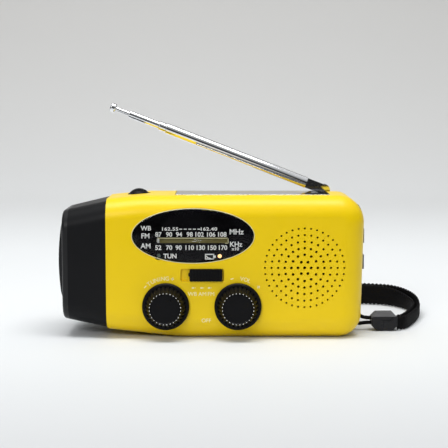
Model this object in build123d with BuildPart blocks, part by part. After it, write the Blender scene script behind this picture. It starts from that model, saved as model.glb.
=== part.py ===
"""A hand-crank and solar emergency radio with a flashlight head, telescopic antenna and wrist strap.

Frame: +X from the flashlight head to the speaker end, +Y from the dial to the back, +Z up.
The origin is the middle of the flat base, so the case stands on z = 0.  Millimetres.
"""

import os
from math import acos, atan, cos, degrees, pi, radians, sin, sqrt, tan

from build123d import *

# ---------------------------------------------------------------- driving dimensions

CASE_DEPTH = 45.0
CASE_TOP = 61.0
FRONT = -CASE_DEPTH / 2
BACK = CASE_DEPTH / 2
WALL = 2.2
EDGE_RADIUS = 8.8
SPLIT = 6.0  # the plane where the front and rear shells meet
SEAM = -45.0  # the plane where the yellow shells meet the flashlight head
HEAD_FACE = -64.2
INNER_FRONT = FRONT + WALL
INNER_BACK = BACK - WALL

TUNING_AXIS = (-19.7, 14.3)  # x, z
VOLUME_AXIS = (10.9, 14.3)
SPEAKER_AXIS = (39.1, 30.7)
CRANK_AXIS = (38.0, 31.0)
BUTTON_AXIS = (-32.2, 0.0)  # x, y

SHAFT_RADIUS = 3.0
RUNNING_CLEARANCE = 0.05
KNOB_SKIRT_RADIUS = 10.0
KNOB_GRIP_RADIUS = (6.9, 8.7)  # at the face and at the skirt
KNOB_FACE = FRONT - 7.6

WINDOW_CENTRE = (-8.1, 44.3)
WINDOW_HALF_WIDTH = 25.95
WINDOW_HALF_HEIGHT = 11.65
SLOT_CENTRE = (-8.5, 42.2)
SLOT_LENGTH = 30.4
SLOT_HEIGHT = 2.1
POINTER_START = -22.9
TUNE_LED = (-22.6, 35.8)
CHARGE_LED = (3.2, 35.6)

SWITCH_CENTRE = (-4.2, 27.6)
SWITCH_LENGTH = 18.4
SWITCH_HEIGHT = 5.4
SWITCH_CAP_LENGTH = 13.8
SWITCH_CAP_CENTRE = -2.7

HOLE_RINGS = (0, 6, 12, 20, 24, 32, 40)  # holes in each ring of the grille
RING_PITCH = 2.8
GRILLE_HOLE_RADIUS = 0.68
GRILLE_HOLE_SHRINK = 0.04  # radius lost from one ring to the next

BOARD_FACE = -15.0
BOARD_THICKNESS = 1.2
BOARD_BACK = BOARD_FACE + BOARD_THICKNESS
CORD_PLANE = -16.9
DRUM_CORD_RADIUS = 9.3
DIAL_CORD_RADIUS = 0.3

SOLAR_X = (-16.0, 50.4)
SOLAR_Y = (-13.2, 10.0)

PIVOT = (50.0, 14.0, 61.3)
ANTENNA_TILT = 21.2
WELL_RADIUS = 7.2
WELL_FLOOR = 55.7
STEM_RADIUS = 2.0
PIVOT_PIN_RADIUS = 0.9

PRESSURE_ANGLE = 25.0
BACKLASH = 0.14
COARSE_MODULE = 0.9
FINE_MODULE = 0.6
WHEEL_TEETH = 36
PINION_TEETH = 12

PORT_COVER_Y = (-9.2, 4.4)
PORT_COVER_Z = (27.3, 56.4)
PORT_HINGE_X = 64.0
USB_PORT_Z = 42.7
CHARGE_PORT_Z = 30.7
PORT_Y = -2.4
PORT_MOUTH = 62.8

STRAP_BAR = (59.0, 7.6)  # x, z
STRAP_BAR_RADIUS = 1.2
STRAP_CORD_RADIUS = 0.85
STRAP_Y = -0.6
CLIP_X = (70.0, 81.4)
WEBBING_WIDTH = 10.0
WEBBING_THICKNESS = 1.2
FLOOR_GAP = 0.3

SCREW_POSITIONS = ((-39.4, 9.8), (-39.4, 51.2), (58.3, 17.2), (31.0, 55.6))  # x, z
SCREW_RADIUS = 1.0
SCREW_LENGTH = 8.0
SCREW_SINK = 9.0  # how deep the case screws' heads sit below the back
BOSS_RADIUS = 2.8

# ---------------------------------------------------------------- shared helpers


def block(x, y, z, mode=Mode.ADD):
    """A box between the given low and high limits."""
    with Locations(((x[0] + x[1]) / 2, (y[0] + y[1]) / 2, (z[0] + z[1]) / 2)):
        return Box(x[1] - x[0], y[1] - y[0], z[1] - z[0], mode=mode)


def rod_y(axis, radius, y, mode=Mode.ADD):
    """A round bar parallel to Y at (x, z)."""
    with Locations(Location((axis[0], (y[0] + y[1]) / 2, axis[1]), (90, 0, 0))):
        return Cylinder(radius, y[1] - y[0], mode=mode)


def rod_x(axis, radius, x, mode=Mode.ADD):
    """A round bar parallel to X at (y, z)."""
    with Locations(Location(((x[0] + x[1]) / 2, axis[0], axis[1]), (0, 90, 0))):
        return Cylinder(radius, x[1] - x[0], mode=mode)


def rod_z(axis, radius, z, mode=Mode.ADD):
    """A round bar parallel to Z at (x, y)."""
    with Locations((axis[0], axis[1], (z[0] + z[1]) / 2)):
        return Cylinder(radius, z[1] - z[0], mode=mode)


def along_y(y):
    """The plane facing the back at the given y, with its own x along +X and y along -Z."""
    return Plane(origin=(0, y, 0), x_dir=(1, 0, 0), z_dir=(0, 1, 0))


def flat(point):
    """A point (x, z) in the coordinates of an along_y plane."""
    return (point[0], -point[1])


def hand_in(builder, name):
    """Label one finished piece and write its STEP file."""
    builder.part.label = name
    export_step(builder.part, f"parts/{name}.step")


os.makedirs("parts", exist_ok=True)

# ---------------------------------------------------------------- the case


def case_outline(inset):
    """The case seen from the front, drawn 15 mm past the head seam and moved inwards by inset."""
    head_end = SEAM - 15
    corners = {
        "base_left": ((-15.0, 0.0), 60.0),
        "base_right": ((63.7, 0.0), 10.0),
        "top_right": ((65.2, CASE_TOP), 11.5),
        "top_left": ((-30.0, CASE_TOP), 60.0),
    }
    with BuildSketch() as outline:
        with BuildLine():
            ends = [(head_end, 58.0), (head_end, 5.0)]
            Polyline(ends[1], *[point for point, _ in corners.values()], ends[0], close=True)
        make_face()
        for point, radius in corners.values():
            fillet(outline.vertices().sort_by_distance(point)[0], radius)
        if inset:
            offset(amount=-inset, kind=Kind.INTERSECTION)
    return outline.sketch


def case_form(inset):
    """The whole closed case as a solid, or its cavity when inset by the wall."""
    half_depth = CASE_DEPTH / 2 - inset
    with BuildPart() as form:
        with BuildSketch(Plane.XZ):
            add(case_outline(inset))
        extrude(amount=half_depth, both=True)
        rims = form.edges().filter_by(lambda e: abs(e.center().Y) > half_depth - 0.01)
        fillet(rims.filter_by(lambda e: e.center().X > SEAM - 14 + inset), EDGE_RADIUS - inset)
    return form.part


CASE = case_form(0)
CAVITY = case_form(WALL)


def side_recess_form(depth, z, y):
    """What lies outside the case outline moved in by depth, between two heights and two depths."""
    with BuildPart() as form:
        with BuildSketch(Plane.XZ.offset(-y[1])):
            with Locations((62.0, (z[0] + z[1]) / 2)):
                Rectangle(16.0, z[1] - z[0])
            add(case_outline(depth), mode=Mode.SUBTRACT)
        extrude(amount=y[1] - y[0])
    return form.part


def screw_bosses(y):
    """Posts that the case screws pass through, tied to the nearest wall."""
    for axis in SCREW_POSITIONS:
        rod_y(axis, BOSS_RADIUS, y)


def cut_for_solar_panel():
    """The shallow seat of the solar panel, across both shells."""
    gap = 0.15
    block(
        (SOLAR_X[0] - gap, SOLAR_X[1] + gap),
        (SOLAR_Y[0] - gap, SOLAR_Y[1] + gap),
        (CASE_TOP - 1.6, CASE_TOP + 5),
        mode=Mode.SUBTRACT,
    )


def oval(half_width, half_height):
    """An upright oval centred on the dial window, on the front face."""
    with Locations(WINDOW_CENTRE):
        Ellipse(half_width, half_height)


with BuildPart() as front_shell:
    add(CASE)
    add(CAVITY, mode=Mode.SUBTRACT)
    # the bosses, the speaker's locating ring and the strap pocket are joined to the walls
    screw_bosses((INNER_FRONT - 1, SPLIT - 0.1))
    rod_y(SPEAKER_AXIS, 21.2, (INNER_FRONT - 0.5, INNER_FRONT + 2.2))
    rod_y(SPEAKER_AXIS, 20.4, (INNER_FRONT, INNER_FRONT + 2.3), mode=Mode.SUBTRACT)
    block((53.6, 62.5), (STRAP_Y - 5.0, STRAP_Y + 5.0), (1.5, 13.6))
    block((54.8, 70.0), (STRAP_Y - 3.4, STRAP_Y + 3.4), (3.4, 12.4), mode=Mode.SUBTRACT)
    rod_y(STRAP_BAR, STRAP_BAR_RADIUS, (STRAP_Y - 4.6, STRAP_Y + 4.6))
    block((-80, SEAM), (-40, 40), (-10, 80), mode=Mode.SUBTRACT)
    block((-80, 80), (SPLIT, 40), (-10, 80), mode=Mode.SUBTRACT)
    add(CASE, mode=Mode.INTERSECT)
    # dial window seat, opening behind it, and the two lamp holes
    with BuildSketch(Plane.XZ.offset(-FRONT)):
        oval(WINDOW_HALF_WIDTH + 0.15, WINDOW_HALF_HEIGHT + 0.15)
    extrude(amount=-1.6, mode=Mode.SUBTRACT)
    with BuildSketch(Plane.XZ.offset(-FRONT)):
        oval(WINDOW_HALF_WIDTH - 0.8, WINDOW_HALF_HEIGHT - 0.8)
        with Locations(TUNE_LED, CHARGE_LED):
            Circle(1.8)
    extrude(amount=-WALL, mode=Mode.SUBTRACT)
    # band switch seat and the slot for its stem
    with BuildSketch(Plane.XZ.offset(-FRONT)):
        with Locations(SWITCH_CENTRE):
            RectangleRounded(SWITCH_LENGTH, SWITCH_HEIGHT, 0.8)
    extrude(amount=-1.3, mode=Mode.SUBTRACT)
    with BuildSketch(Plane.XZ.offset(-FRONT)):
        with Locations(SWITCH_CENTRE):
            SlotOverall(12.0, 2.6)
    extrude(amount=-WALL, mode=Mode.SUBTRACT)
    # knob shafts
    for axis in (TUNING_AXIS, VOLUME_AXIS):
        rod_y(axis, SHAFT_RADIUS + 0.6, (FRONT - 1, INNER_FRONT + 0.1), mode=Mode.SUBTRACT)
    # speaker grille: rings of round holes that get slightly smaller outwards
    with BuildSketch(Plane.XZ.offset(-FRONT)):
        for ring, count in enumerate(HOLE_RINGS):
            hole_radius = GRILLE_HOLE_RADIUS - GRILLE_HOLE_SHRINK * ring
            with Locations(SPEAKER_AXIS):
                if ring == 0:
                    Circle(hole_radius)
                else:
                    start = 0 if ring == 1 else 90
                    with PolarLocations(ring * RING_PITCH, count, start_angle=start):
                        Circle(hole_radius)
    extrude(amount=-WALL, mode=Mode.SUBTRACT)
    # flashlight button, solar panel, ports and their cover
    rod_z(BUTTON_AXIS, 5.15, (56, 66), mode=Mode.SUBTRACT)
    cut_for_solar_panel()
    port_y = (PORT_COVER_Y[0] - 0.2, PORT_COVER_Y[1] + 0.2)
    add(side_recess_form(1.5, (PORT_COVER_Z[0] - 1.0, PORT_COVER_Z[1] + 0.3), port_y), mode=Mode.SUBTRACT)
    add(side_recess_form(0.6, (PORT_COVER_Z[0] - 2.3, PORT_COVER_Z[0]), port_y), mode=Mode.SUBTRACT)
    block((60, 70), (PORT_Y - 6.6, PORT_Y + 6.6), (USB_PORT_Z - 2.9, USB_PORT_Z + 2.9), mode=Mode.SUBTRACT)
    block((60, 70), (PORT_Y - 4, PORT_Y + 4), (CHARGE_PORT_Z - 1.6, CHARGE_PORT_Z + 1.6), mode=Mode.SUBTRACT)
    hinge_y = (PORT_COVER_Y[0] - 1.2, PORT_COVER_Y[1] + 1.2)
    rod_y((PORT_HINGE_X, PORT_COVER_Z[0]), 0.4, hinge_y, mode=Mode.SUBTRACT)
    for axis in SCREW_POSITIONS:
        rod_y(axis, SCREW_RADIUS, (SPLIT - 10, SPLIT + 1), mode=Mode.SUBTRACT)
hand_in(front_shell, "front_shell")

BATTERY_DOOR_X = (-39.0, -1.0)
BATTERY_DOOR_Z = (12.2, 39.4)
DOOR_SCREW = (-20.0, 42.2)

with BuildPart() as rear_shell:
    add(CASE)
    add(CAVITY, mode=Mode.SUBTRACT)
    screw_bosses((SPLIT + 0.1, INNER_BACK + 1))
    # a ledge under the antenna groove, a cup under its well, and the crank's bush
    block((SEAM + 1, PIVOT[0]), (9.6, 18.4), (56.6, 59.2))
    rod_z(PIVOT, WELL_RADIUS + 1.4, (WELL_FLOOR - 2.2, 60))
    rod_y(CRANK_AXIS, 6.5, (INNER_BACK - 1.2, BACK - 0.1))
    rod_y(DOOR_SCREW, 2.6, (INNER_BACK - 5, INNER_BACK + 0.1))
    block((-80, SEAM), (-40, 40), (-10, 80), mode=Mode.SUBTRACT)
    block((-80, 80), (-40, SPLIT), (-10, 80), mode=Mode.SUBTRACT)
    add(CASE, mode=Mode.INTERSECT)
    cut_for_solar_panel()
    # stowing groove, swivel well and stem hole
    block((-60, PIVOT[0]), (PIVOT[1] - 3.0, PIVOT[1] + 3.0), (58.4, 70), mode=Mode.SUBTRACT)
    rod_z(PIVOT, WELL_RADIUS, (WELL_FLOOR, 70), mode=Mode.SUBTRACT)
    rod_z(PIVOT, STEM_RADIUS + RUNNING_CLEARANCE, (WELL_FLOOR - 4, 60), mode=Mode.SUBTRACT)
    # crank bore, battery door opening with a stepped lip, and screw holes
    rod_y(CRANK_AXIS, 4.0 + RUNNING_CLEARANCE, (10, 30), mode=Mode.SUBTRACT)
    block(BATTERY_DOOR_X, (BACK - 1.2, 30), BATTERY_DOOR_Z, mode=Mode.SUBTRACT)
    inner_x = (BATTERY_DOOR_X[0] + 1.2, BATTERY_DOOR_X[1] - 1.2)
    inner_z = (BATTERY_DOOR_Z[0] + 1.2, BATTERY_DOOR_Z[1] - 1.2)
    block(inner_x, (INNER_BACK - 1, 30), inner_z, mode=Mode.SUBTRACT)
    tongue_x = (DOOR_SCREW[0] - 5, DOOR_SCREW[0] + 5)
    block(tongue_x, (BACK - 1.2, 30), (BATTERY_DOOR_Z[1] - 1, DOOR_SCREW[1] + 3.5), mode=Mode.SUBTRACT)
    rod_y(DOOR_SCREW, SCREW_RADIUS, (INNER_BACK - 4.8, 30), mode=Mode.SUBTRACT)
    for axis in SCREW_POSITIONS:
        rod_y(axis, SCREW_RADIUS + 0.15, (SPLIT - 1, BACK + 1), mode=Mode.SUBTRACT)
        rod_y(axis, 2.1, (BACK - SCREW_SINK - 1.3, BACK + 1), mode=Mode.SUBTRACT)
hand_in(rear_shell, "rear_shell")

with BuildPart() as battery_cover:
    lip = 0.12
    block(
        (BATTERY_DOOR_X[0] + lip, BATTERY_DOOR_X[1] - lip),
        (BACK - 1.2, BACK),
        (BATTERY_DOOR_Z[0] + lip, BATTERY_DOOR_Z[1] - lip),
    )
    block((tongue_x[0] + lip, tongue_x[1] - lip), (BACK - 1.2, BACK), (38, DOOR_SCREW[1] + 3.5 - lip))
    upright = battery_cover.edges().filter_by(Axis.Y)
    fillet(upright.filter_by(lambda e: e.center().Z > 44 or e.center().Z < 14), 1.0)
    rod_y(DOOR_SCREW, SCREW_RADIUS + 0.2, (BACK - 2, BACK + 1), mode=Mode.SUBTRACT)
    for rib in range(5):
        block((-24.0, -16.4), (BACK - 0.5, BACK + 1), (14.5 + 2 * rib, 15.5 + 2 * rib), mode=Mode.SUBTRACT)
hand_in(battery_cover, "battery_cover")


def screw(axis, head_face):
    """A pan-head screw along Y with a cross recess; its head faces the back."""
    rod_y(axis, SCREW_RADIUS, (head_face - SCREW_LENGTH, head_face - 1.2))
    rod_y(axis, 1.9, (head_face - 1.3, head_face))
    for width, height in ((2.4, 0.5), (0.5, 2.4)):
        block(
            (axis[0] - width / 2, axis[0] + width / 2),
            (head_face - 0.8, head_face + 1),
            (axis[1] - height / 2, axis[1] + height / 2),
            mode=Mode.SUBTRACT,
        )


with BuildPart() as case_screws:
    for axis in SCREW_POSITIONS:
        screw(axis, BACK - SCREW_SINK)
    screw(DOOR_SCREW, BACK + 1.3)
hand_in(case_screws, "case_screws")

# ---------------------------------------------------------------- the flashlight head


def head_section(x, inset):
    """The head's cross-section at x: it narrows steadily from the seam to the face."""
    along = (SEAM - x) / (SEAM - HEAD_FACE)
    bottom = 3.9 + 3.5 * along + inset
    top = 58.7 - 4.4 * along - inset
    half_depth = 21.9 - 3.3 * along - inset
    with BuildSketch(Plane.YZ.offset(x)) as section:
        with Locations((0, (top + bottom) / 2)):
            RectangleRounded(2 * half_depth, top - bottom, EDGE_RADIUS - 0.6 - inset)
    return section.sketch


with BuildPart() as head_housing:
    housing_face = HEAD_FACE + 2.6
    loft([head_section(SEAM, 0).faces()[0], head_section(housing_face, 0).faces()[0]])
    loft(
        [head_section(SEAM + 0.01, 1.8).faces()[0], head_section(housing_face - 0.01, 1.8).faces()[0]],
        mode=Mode.SUBTRACT,
    )
    # the collar that plugs into the yellow shells
    with BuildSketch(Plane.YZ.offset(SEAM - 2)):
        with Locations((0, 31.3)):
            RectangleRounded(39.8, 50.4, 6.6)
            RectangleRounded(37.0, 47.6, 5.4, mode=Mode.SUBTRACT)
    extrude(amount=4.4)
hand_in(head_housing, "head_housing")

LENS_Z = (15.8, 51.6)
LENS_HALF_DEPTH = 14.8

LENS_RIM = 1.4
LENS_CORNER = 5.0
CROWN_RADIUS = 102.0  # the rim and the lens bulge along the height of the head
CROWN_AXIS = (-65.9 + CROWN_RADIUS, 32.4)  # x, z


def lens_outline(x, inset):
    """The rounded rectangle of the lens rim at x, drawn in by the inset."""
    with BuildSketch(Plane.YZ.offset(x)) as outline:
        with Locations((0, sum(LENS_Z) / 2)):
            RectangleRounded(
                2 * (LENS_HALF_DEPTH - inset), LENS_Z[1] - LENS_Z[0] - 2 * inset, LENS_CORNER - inset
            )
    return outline.sketch


def crowned_plate(inset, sink):
    """A plate in front of the housing, with the bulging face sunk by this much."""
    with BuildPart(mode=Mode.PRIVATE) as plate:
        extrude(lens_outline(housing_face, inset), amount=-6)
        rod_y(CROWN_AXIS, CROWN_RADIUS - sink, (-20, 20), mode=Mode.INTERSECT)
    return plate.part


with BuildPart() as head_bezel:
    loft([head_section(housing_face, 0).faces()[0], head_section(HEAD_FACE, 0).faces()[0]])
    fillet(head_bezel.faces().sort_by(Axis.X)[0].edges(), 1.6)
    # a narrow groove round the raised rim
    extrude(lens_outline(HEAD_FACE - 3, -0.4), amount=4.2, mode=Mode.SUBTRACT)
    add(crowned_plate(0, 0))
    extrude(lens_outline(HEAD_FACE - 6, LENS_RIM), amount=12, mode=Mode.SUBTRACT)
hand_in(head_bezel, "head_bezel")

with BuildPart() as flashlight_lens:
    add(crowned_plate(LENS_RIM + 0.05, 0.5))
hand_in(flashlight_lens, "flashlight_lens")

LED_SPOTS = [(y, z) for z in (24.5, 42.5) for y in (-7.0, 7.0)] + [(0.0, 33.5)]

with BuildPart() as reflector:
    with BuildSketch(Plane.YZ.offset(housing_face + 0.1)):
        with Locations((0, sum(LENS_Z) / 2)):
            RectangleRounded(2 * LENS_HALF_DEPTH + 2.4, LENS_Z[1] - LENS_Z[0] + 2.4, 6.0)
    extrude(amount=9.0)
    for y, z in LED_SPOTS:
        with Locations(Location((housing_face + 4.6, y, z), (0, 90, 0))):
            Cone(6.4, 2.7, 9.1, mode=Mode.SUBTRACT)
        rod_x((y, z), 2.65, (-60, -50), mode=Mode.SUBTRACT)
hand_in(reflector, "reflector")

with BuildPart() as led_board:
    block((housing_face + 9.2, housing_face + 10.6), (-16, 16), (14.5, 53))
hand_in(led_board, "led_board")

with BuildPart() as flashlight_leds:
    for y, z in LED_SPOTS:
        rod_x((y, z), 2.5, (housing_face + 3.6, housing_face + 9.1))
        with Locations((housing_face + 3.6, y, z)):
            Sphere(2.5)
hand_in(flashlight_leds, "flashlight_leds")

# ---------------------------------------------------------------- the dial

with BuildPart() as dial_plate:
    with BuildSketch(Plane.XZ.offset(-FRONT - 1.6)):
        oval(WINDOW_HALF_WIDTH, WINDOW_HALF_HEIGHT)
        with Locations(SLOT_CENTRE):
            SlotOverall(SLOT_LENGTH, SLOT_HEIGHT, mode=Mode.SUBTRACT)
        with Locations(TUNE_LED, CHARGE_LED):
            Circle(0.85, mode=Mode.SUBTRACT)
    extrude(amount=0.6)
hand_in(dial_plate, "dial_plate")

with BuildPart() as dial_window:
    with BuildSketch(Plane.XZ.offset(-FRONT - 1.0)):
        oval(WINDOW_HALF_WIDTH, WINDOW_HALF_HEIGHT)
    extrude(amount=1.2)
    fillet(dial_window.faces().sort_by(Axis.Y)[0].edges(), 0.3)
hand_in(dial_window, "dial_window")


def lamp(centre):
    """A round-nosed lamp whose tip looks through its hole in the dial plate."""
    rod_y(centre, 1.5, (FRONT + 2.4, BOARD_FACE))
    rod_y(centre, 0.7, (FRONT + 1.3, FRONT + 2.5))


with BuildPart() as dial_lamps:
    lamp(TUNE_LED)
    lamp(CHARGE_LED)
hand_in(dial_lamps, "dial_lamps")

RAIL_Y = (-19.7, -18.9)

with BuildPart() as pointer_rail:
    block((-33.0, 10.4), RAIL_Y, (40.6, 43.8))
    block((-33.0, -31.0), (RAIL_Y[0], BOARD_FACE), (42.4, 43.8))
    block((8.6, 10.4), (RAIL_Y[0], BOARD_FACE), (40.6, 43.8))
hand_in(pointer_rail, "pointer_rail")

CORD_TOP = 41.3
CORD_RIGHT = 6.6
CORD_LEFT = TUNING_AXIS[0] - DRUM_CORD_RADIUS
CORD_BOTTOM = TUNING_AXIS[1] - DRUM_CORD_RADIUS
POST_TURN = 1.5  # radius of the cord's bend round a post

with BuildPart() as dial_pointer:
    block((POINTER_START - 0.5, POINTER_START + 0.5), (-20.9, -20.3), (41.2, 45.0))
    clamp_y = (CORD_PLANE - 0.8, CORD_PLANE + 0.8)
    block((POINTER_START - 3.0, POINTER_START + 0.5), (-20.9, clamp_y[1]), (44.2, 45.0))
    block((POINTER_START - 3.0, POINTER_START - 1.2), clamp_y, (41.05, 45.0))
    clamp_slot = (CORD_PLANE - 0.45, CORD_PLANE + 0.45)
    block((POINTER_START - 4, POINTER_START), clamp_slot, (40.0, 41.8), mode=Mode.SUBTRACT)
hand_in(dial_pointer, "dial_pointer")

with BuildPart() as dial_cord:
    with BuildLine(along_y(CORD_PLANE)) as loop:
        corners = [
            (CORD_RIGHT, CORD_TOP),
            (CORD_LEFT, CORD_TOP),
            (CORD_LEFT, CORD_BOTTOM),
            (CORD_RIGHT, CORD_BOTTOM),
        ]
        turns = [POST_TURN, POST_TURN, DRUM_CORD_RADIUS, POST_TURN]
        FilletPolyline(*[flat(point) for point in corners], radius=turns, close=True)
    with BuildSketch(Plane(origin=loop.wire() @ 0, z_dir=loop.wire() % 0)):
        Circle(DIAL_CORD_RADIUS)
    sweep()
hand_in(dial_cord, "dial_cord")

CORD_POSTS = [
    (CORD_RIGHT - POST_TURN, CORD_TOP - POST_TURN),
    (CORD_LEFT + POST_TURN, CORD_TOP - POST_TURN),
    (CORD_RIGHT - POST_TURN, CORD_BOTTOM + POST_TURN),
]

with BuildPart() as dial_drum:
    drum_y = (CORD_PLANE - 1.1, CORD_PLANE + 1.1)
    rod_y(TUNING_AXIS, DRUM_CORD_RADIUS + 0.4, drum_y)
    groove_y = (CORD_PLANE - 0.5, CORD_PLANE + 0.5)
    rod_y(TUNING_AXIS, DRUM_CORD_RADIUS + 1, groove_y, mode=Mode.SUBTRACT)
    rod_y(TUNING_AXIS, DRUM_CORD_RADIUS - 0.5, groove_y)
    with Locations(Location((TUNING_AXIS[0], CORD_PLANE, TUNING_AXIS[1]), (90, 0, 0))):
        with PolarLocations(6.0, 5):
            Cylinder(1.5, 4, mode=Mode.SUBTRACT)
    rod_y(TUNING_AXIS, SHAFT_RADIUS, (-30, 0), mode=Mode.SUBTRACT)
hand_in(dial_drum, "dial_drum")

# ---------------------------------------------------------------- knobs and controls


FLUTES = 28
FLUTE_RADIUS = 0.55
DISH_RADIUS = 6.3
DISH_DEPTH = 0.35
POINTER_REACH = 4.8


def knob(axis, pointer_angle):
    """A knob: thin skirt, tapered fluted grip, dished face with a pointer mark, and the stem that it turns."""
    skirt = (FRONT - 1.9, FRONT - 0.3)
    face_radius, foot_radius = KNOB_GRIP_RADIUS
    height = skirt[0] - KNOB_FACE
    taper = degrees(atan((foot_radius - face_radius) / height))
    rod_y(axis, KNOB_SKIRT_RADIUS, skirt)
    with Locations(Location((axis[0], (KNOB_FACE + skirt[0]) / 2, axis[1]), (90, 0, 0))):
        Cone(foot_radius, face_radius, height)
    rims = [e for e in edges().filter_by(GeomType.CIRCLE) if e.center().Y < skirt[0] + 0.01]
    chamfer([e for e in rims if e.center().Y < KNOB_FACE + 0.01], 0.3)
    chamfer([e for e in rims if abs(e.radius - KNOB_SKIRT_RADIUS) < 0.01], 0.5)
    # the flutes run down the cone and stop at the skirt
    with Locations(Location((axis[0], (KNOB_FACE + skirt[0]) / 2 - 0.4, axis[1]), (90, 0, 0))):
        with PolarLocations((face_radius + foot_radius) / 2 + 0.02, FLUTES):
            with Locations(Location((0, 0, 0), (0, -taper, 0))):
                Cylinder(FLUTE_RADIUS, height / cos(radians(taper)) + 0.6, mode=Mode.SUBTRACT)
    with Locations(Location((axis[0], KNOB_FACE + DISH_DEPTH / 2, axis[1]), (90, 0, 0))):
        Cone(DISH_RADIUS - DISH_DEPTH, DISH_RADIUS, DISH_DEPTH, mode=Mode.SUBTRACT)
    rod_y(axis, SHAFT_RADIUS, (FRONT - 1, BOARD_BACK + 4.0))
    mark = (
        axis[0] + POINTER_REACH * cos(radians(pointer_angle)),
        KNOB_FACE + DISH_DEPTH,
        axis[1] + POINTER_REACH * sin(radians(pointer_angle)),
    )
    with Locations(Location(mark, (0, -pointer_angle, 0))):
        Box(1.8, 0.5, 0.7, mode=Mode.SUBTRACT)


with BuildPart() as tuning_knob:
    knob(TUNING_AXIS, 57.0)
hand_in(tuning_knob, "tuning_knob")

with BuildPart() as volume_knob:
    knob(VOLUME_AXIS, 219.0)
hand_in(volume_knob, "volume_knob")

def bushing(axis):
    """The threaded neck of a control, through the main board, bored for its shaft."""
    rod_y(axis, SHAFT_RADIUS + 0.9, (BOARD_FACE - 0.4, BOARD_BACK + 1.0))
    bore = (BOARD_FACE - 2, BOARD_BACK + 4.3)
    rod_y(axis, SHAFT_RADIUS + RUNNING_CLEARANCE, bore, mode=Mode.SUBTRACT)


with BuildPart() as tuning_capacitor:
    block(
        (TUNING_AXIS[0] - 10, TUNING_AXIS[0] + 10),
        (BOARD_BACK, BOARD_BACK + 11),
        (TUNING_AXIS[1] - 9.6, TUNING_AXIS[1] + 10.4),
    )
    fillet(tuning_capacitor.edges().filter_by(Axis.Y), 1.0)
    bushing(TUNING_AXIS)
hand_in(tuning_capacitor, "tuning_capacitor")

with BuildPart() as volume_pot:
    rod_y(VOLUME_AXIS, 8.2, (BOARD_BACK, BOARD_BACK + 7.5))
    bushing(VOLUME_AXIS)
hand_in(volume_pot, "volume_pot")

SWITCH_BODY_Z = (SWITCH_CENTRE[1] - 3.0, SWITCH_CENTRE[1] + 3.0)
SWITCH_TRAVEL = 3.4

with BuildPart() as band_switch_cap:
    cap_y = (FRONT - 1.2, FRONT + 1.2)
    cap_x = (SWITCH_CAP_CENTRE - SWITCH_CAP_LENGTH / 2, SWITCH_CAP_CENTRE + SWITCH_CAP_LENGTH / 2)
    block(cap_x, cap_y, (SWITCH_CENTRE[1] - 2.55, SWITCH_CENTRE[1] + 2.55))
    fillet(band_switch_cap.edges().filter_by(Axis.Y), 0.6)
    groove_count = 9
    for groove in range(groove_count):
        x = SWITCH_CAP_CENTRE + (groove - (groove_count - 1) / 2) * 1.3
        block((x - 0.3, x + 0.3), (cap_y[0] - 1, cap_y[0] + 0.55), (20, 35), mode=Mode.SUBTRACT)
    # the stem, down through the slot into the switch body
    stem_x = (SWITCH_CENTRE[0] + SWITCH_TRAVEL / 2 - 2.0, SWITCH_CENTRE[0] + SWITCH_TRAVEL / 2 + 2.0)
    block(stem_x, (cap_y[1], -18.2), (SWITCH_CENTRE[1] - 0.9, SWITCH_CENTRE[1] + 0.9))
hand_in(band_switch_cap, "band_switch_cap")

with BuildPart() as band_switch_body:
    block((-13.2, 4.8), (INNER_FRONT + 0.5, BOARD_FACE), SWITCH_BODY_Z)
    block(
        (SWITCH_CENTRE[0] - 5.0, SWITCH_CENTRE[0] + 5.0),
        (INNER_FRONT, -17.6),
        (SWITCH_CENTRE[1] - 1.3, SWITCH_CENTRE[1] + 1.3),
        mode=Mode.SUBTRACT,
    )
hand_in(band_switch_body, "band_switch_body")

with BuildPart() as flashlight_button:
    dome_top = 62.9
    dome_base = 60.8
    dome_edge = 4.3
    rod_z(BUTTON_AXIS, 4.9, (57.3, 60.5))
    # the dome is a cap of this sphere
    rise = dome_top - dome_base
    dome_radius = (dome_edge**2 + rise**2) / (2 * rise)
    dome_centre = dome_top - dome_radius
    with BuildSketch(Plane.XZ):
        with BuildLine():
            shoulder = Polyline(
                (BUTTON_AXIS[0], 57.5),
                (BUTTON_AXIS[0] + 4.9, 57.5),
                (BUTTON_AXIS[0] + 4.9, 60.5),
                (BUTTON_AXIS[0] + dome_edge, dome_base),
            )
            crown = RadiusArc(shoulder @ 1, (BUTTON_AXIS[0], dome_top), -dome_radius)
            Line(crown @ 1, shoulder @ 0)
        make_face()
    revolve(axis=Axis((*BUTTON_AXIS, 0), (0, 0, 1)))
    rod_z(BUTTON_AXIS, 5.8, (57.0, 57.8))
    rod_z(BUTTON_AXIS, 1.5, (52.3, 57.1))
    # a ring of small grip dimples round a centre one
    for ring_radius, count in ((0.01, 1), (1.7, 6), (3.1, 12)):
        dimple_z = dome_centre + sqrt((dome_radius + 0.3) ** 2 - ring_radius**2)
        with Locations((*BUTTON_AXIS, dimple_z)):
            with PolarLocations(ring_radius, count):
                Sphere(0.62, mode=Mode.SUBTRACT)
hand_in(flashlight_button, "flashlight_button")

with BuildPart() as flashlight_switch:
    x, y = BUTTON_AXIS
    block((x - 4, x + 4), (y - 4, y + 4), (50.0, 55.3))
    rod_z(BUTTON_AXIS, 1.5 + RUNNING_CLEARANCE, (50.8, 60), mode=Mode.SUBTRACT)
hand_in(flashlight_switch, "flashlight_switch")

# ---------------------------------------------------------------- boards, battery and aerial coil

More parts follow.
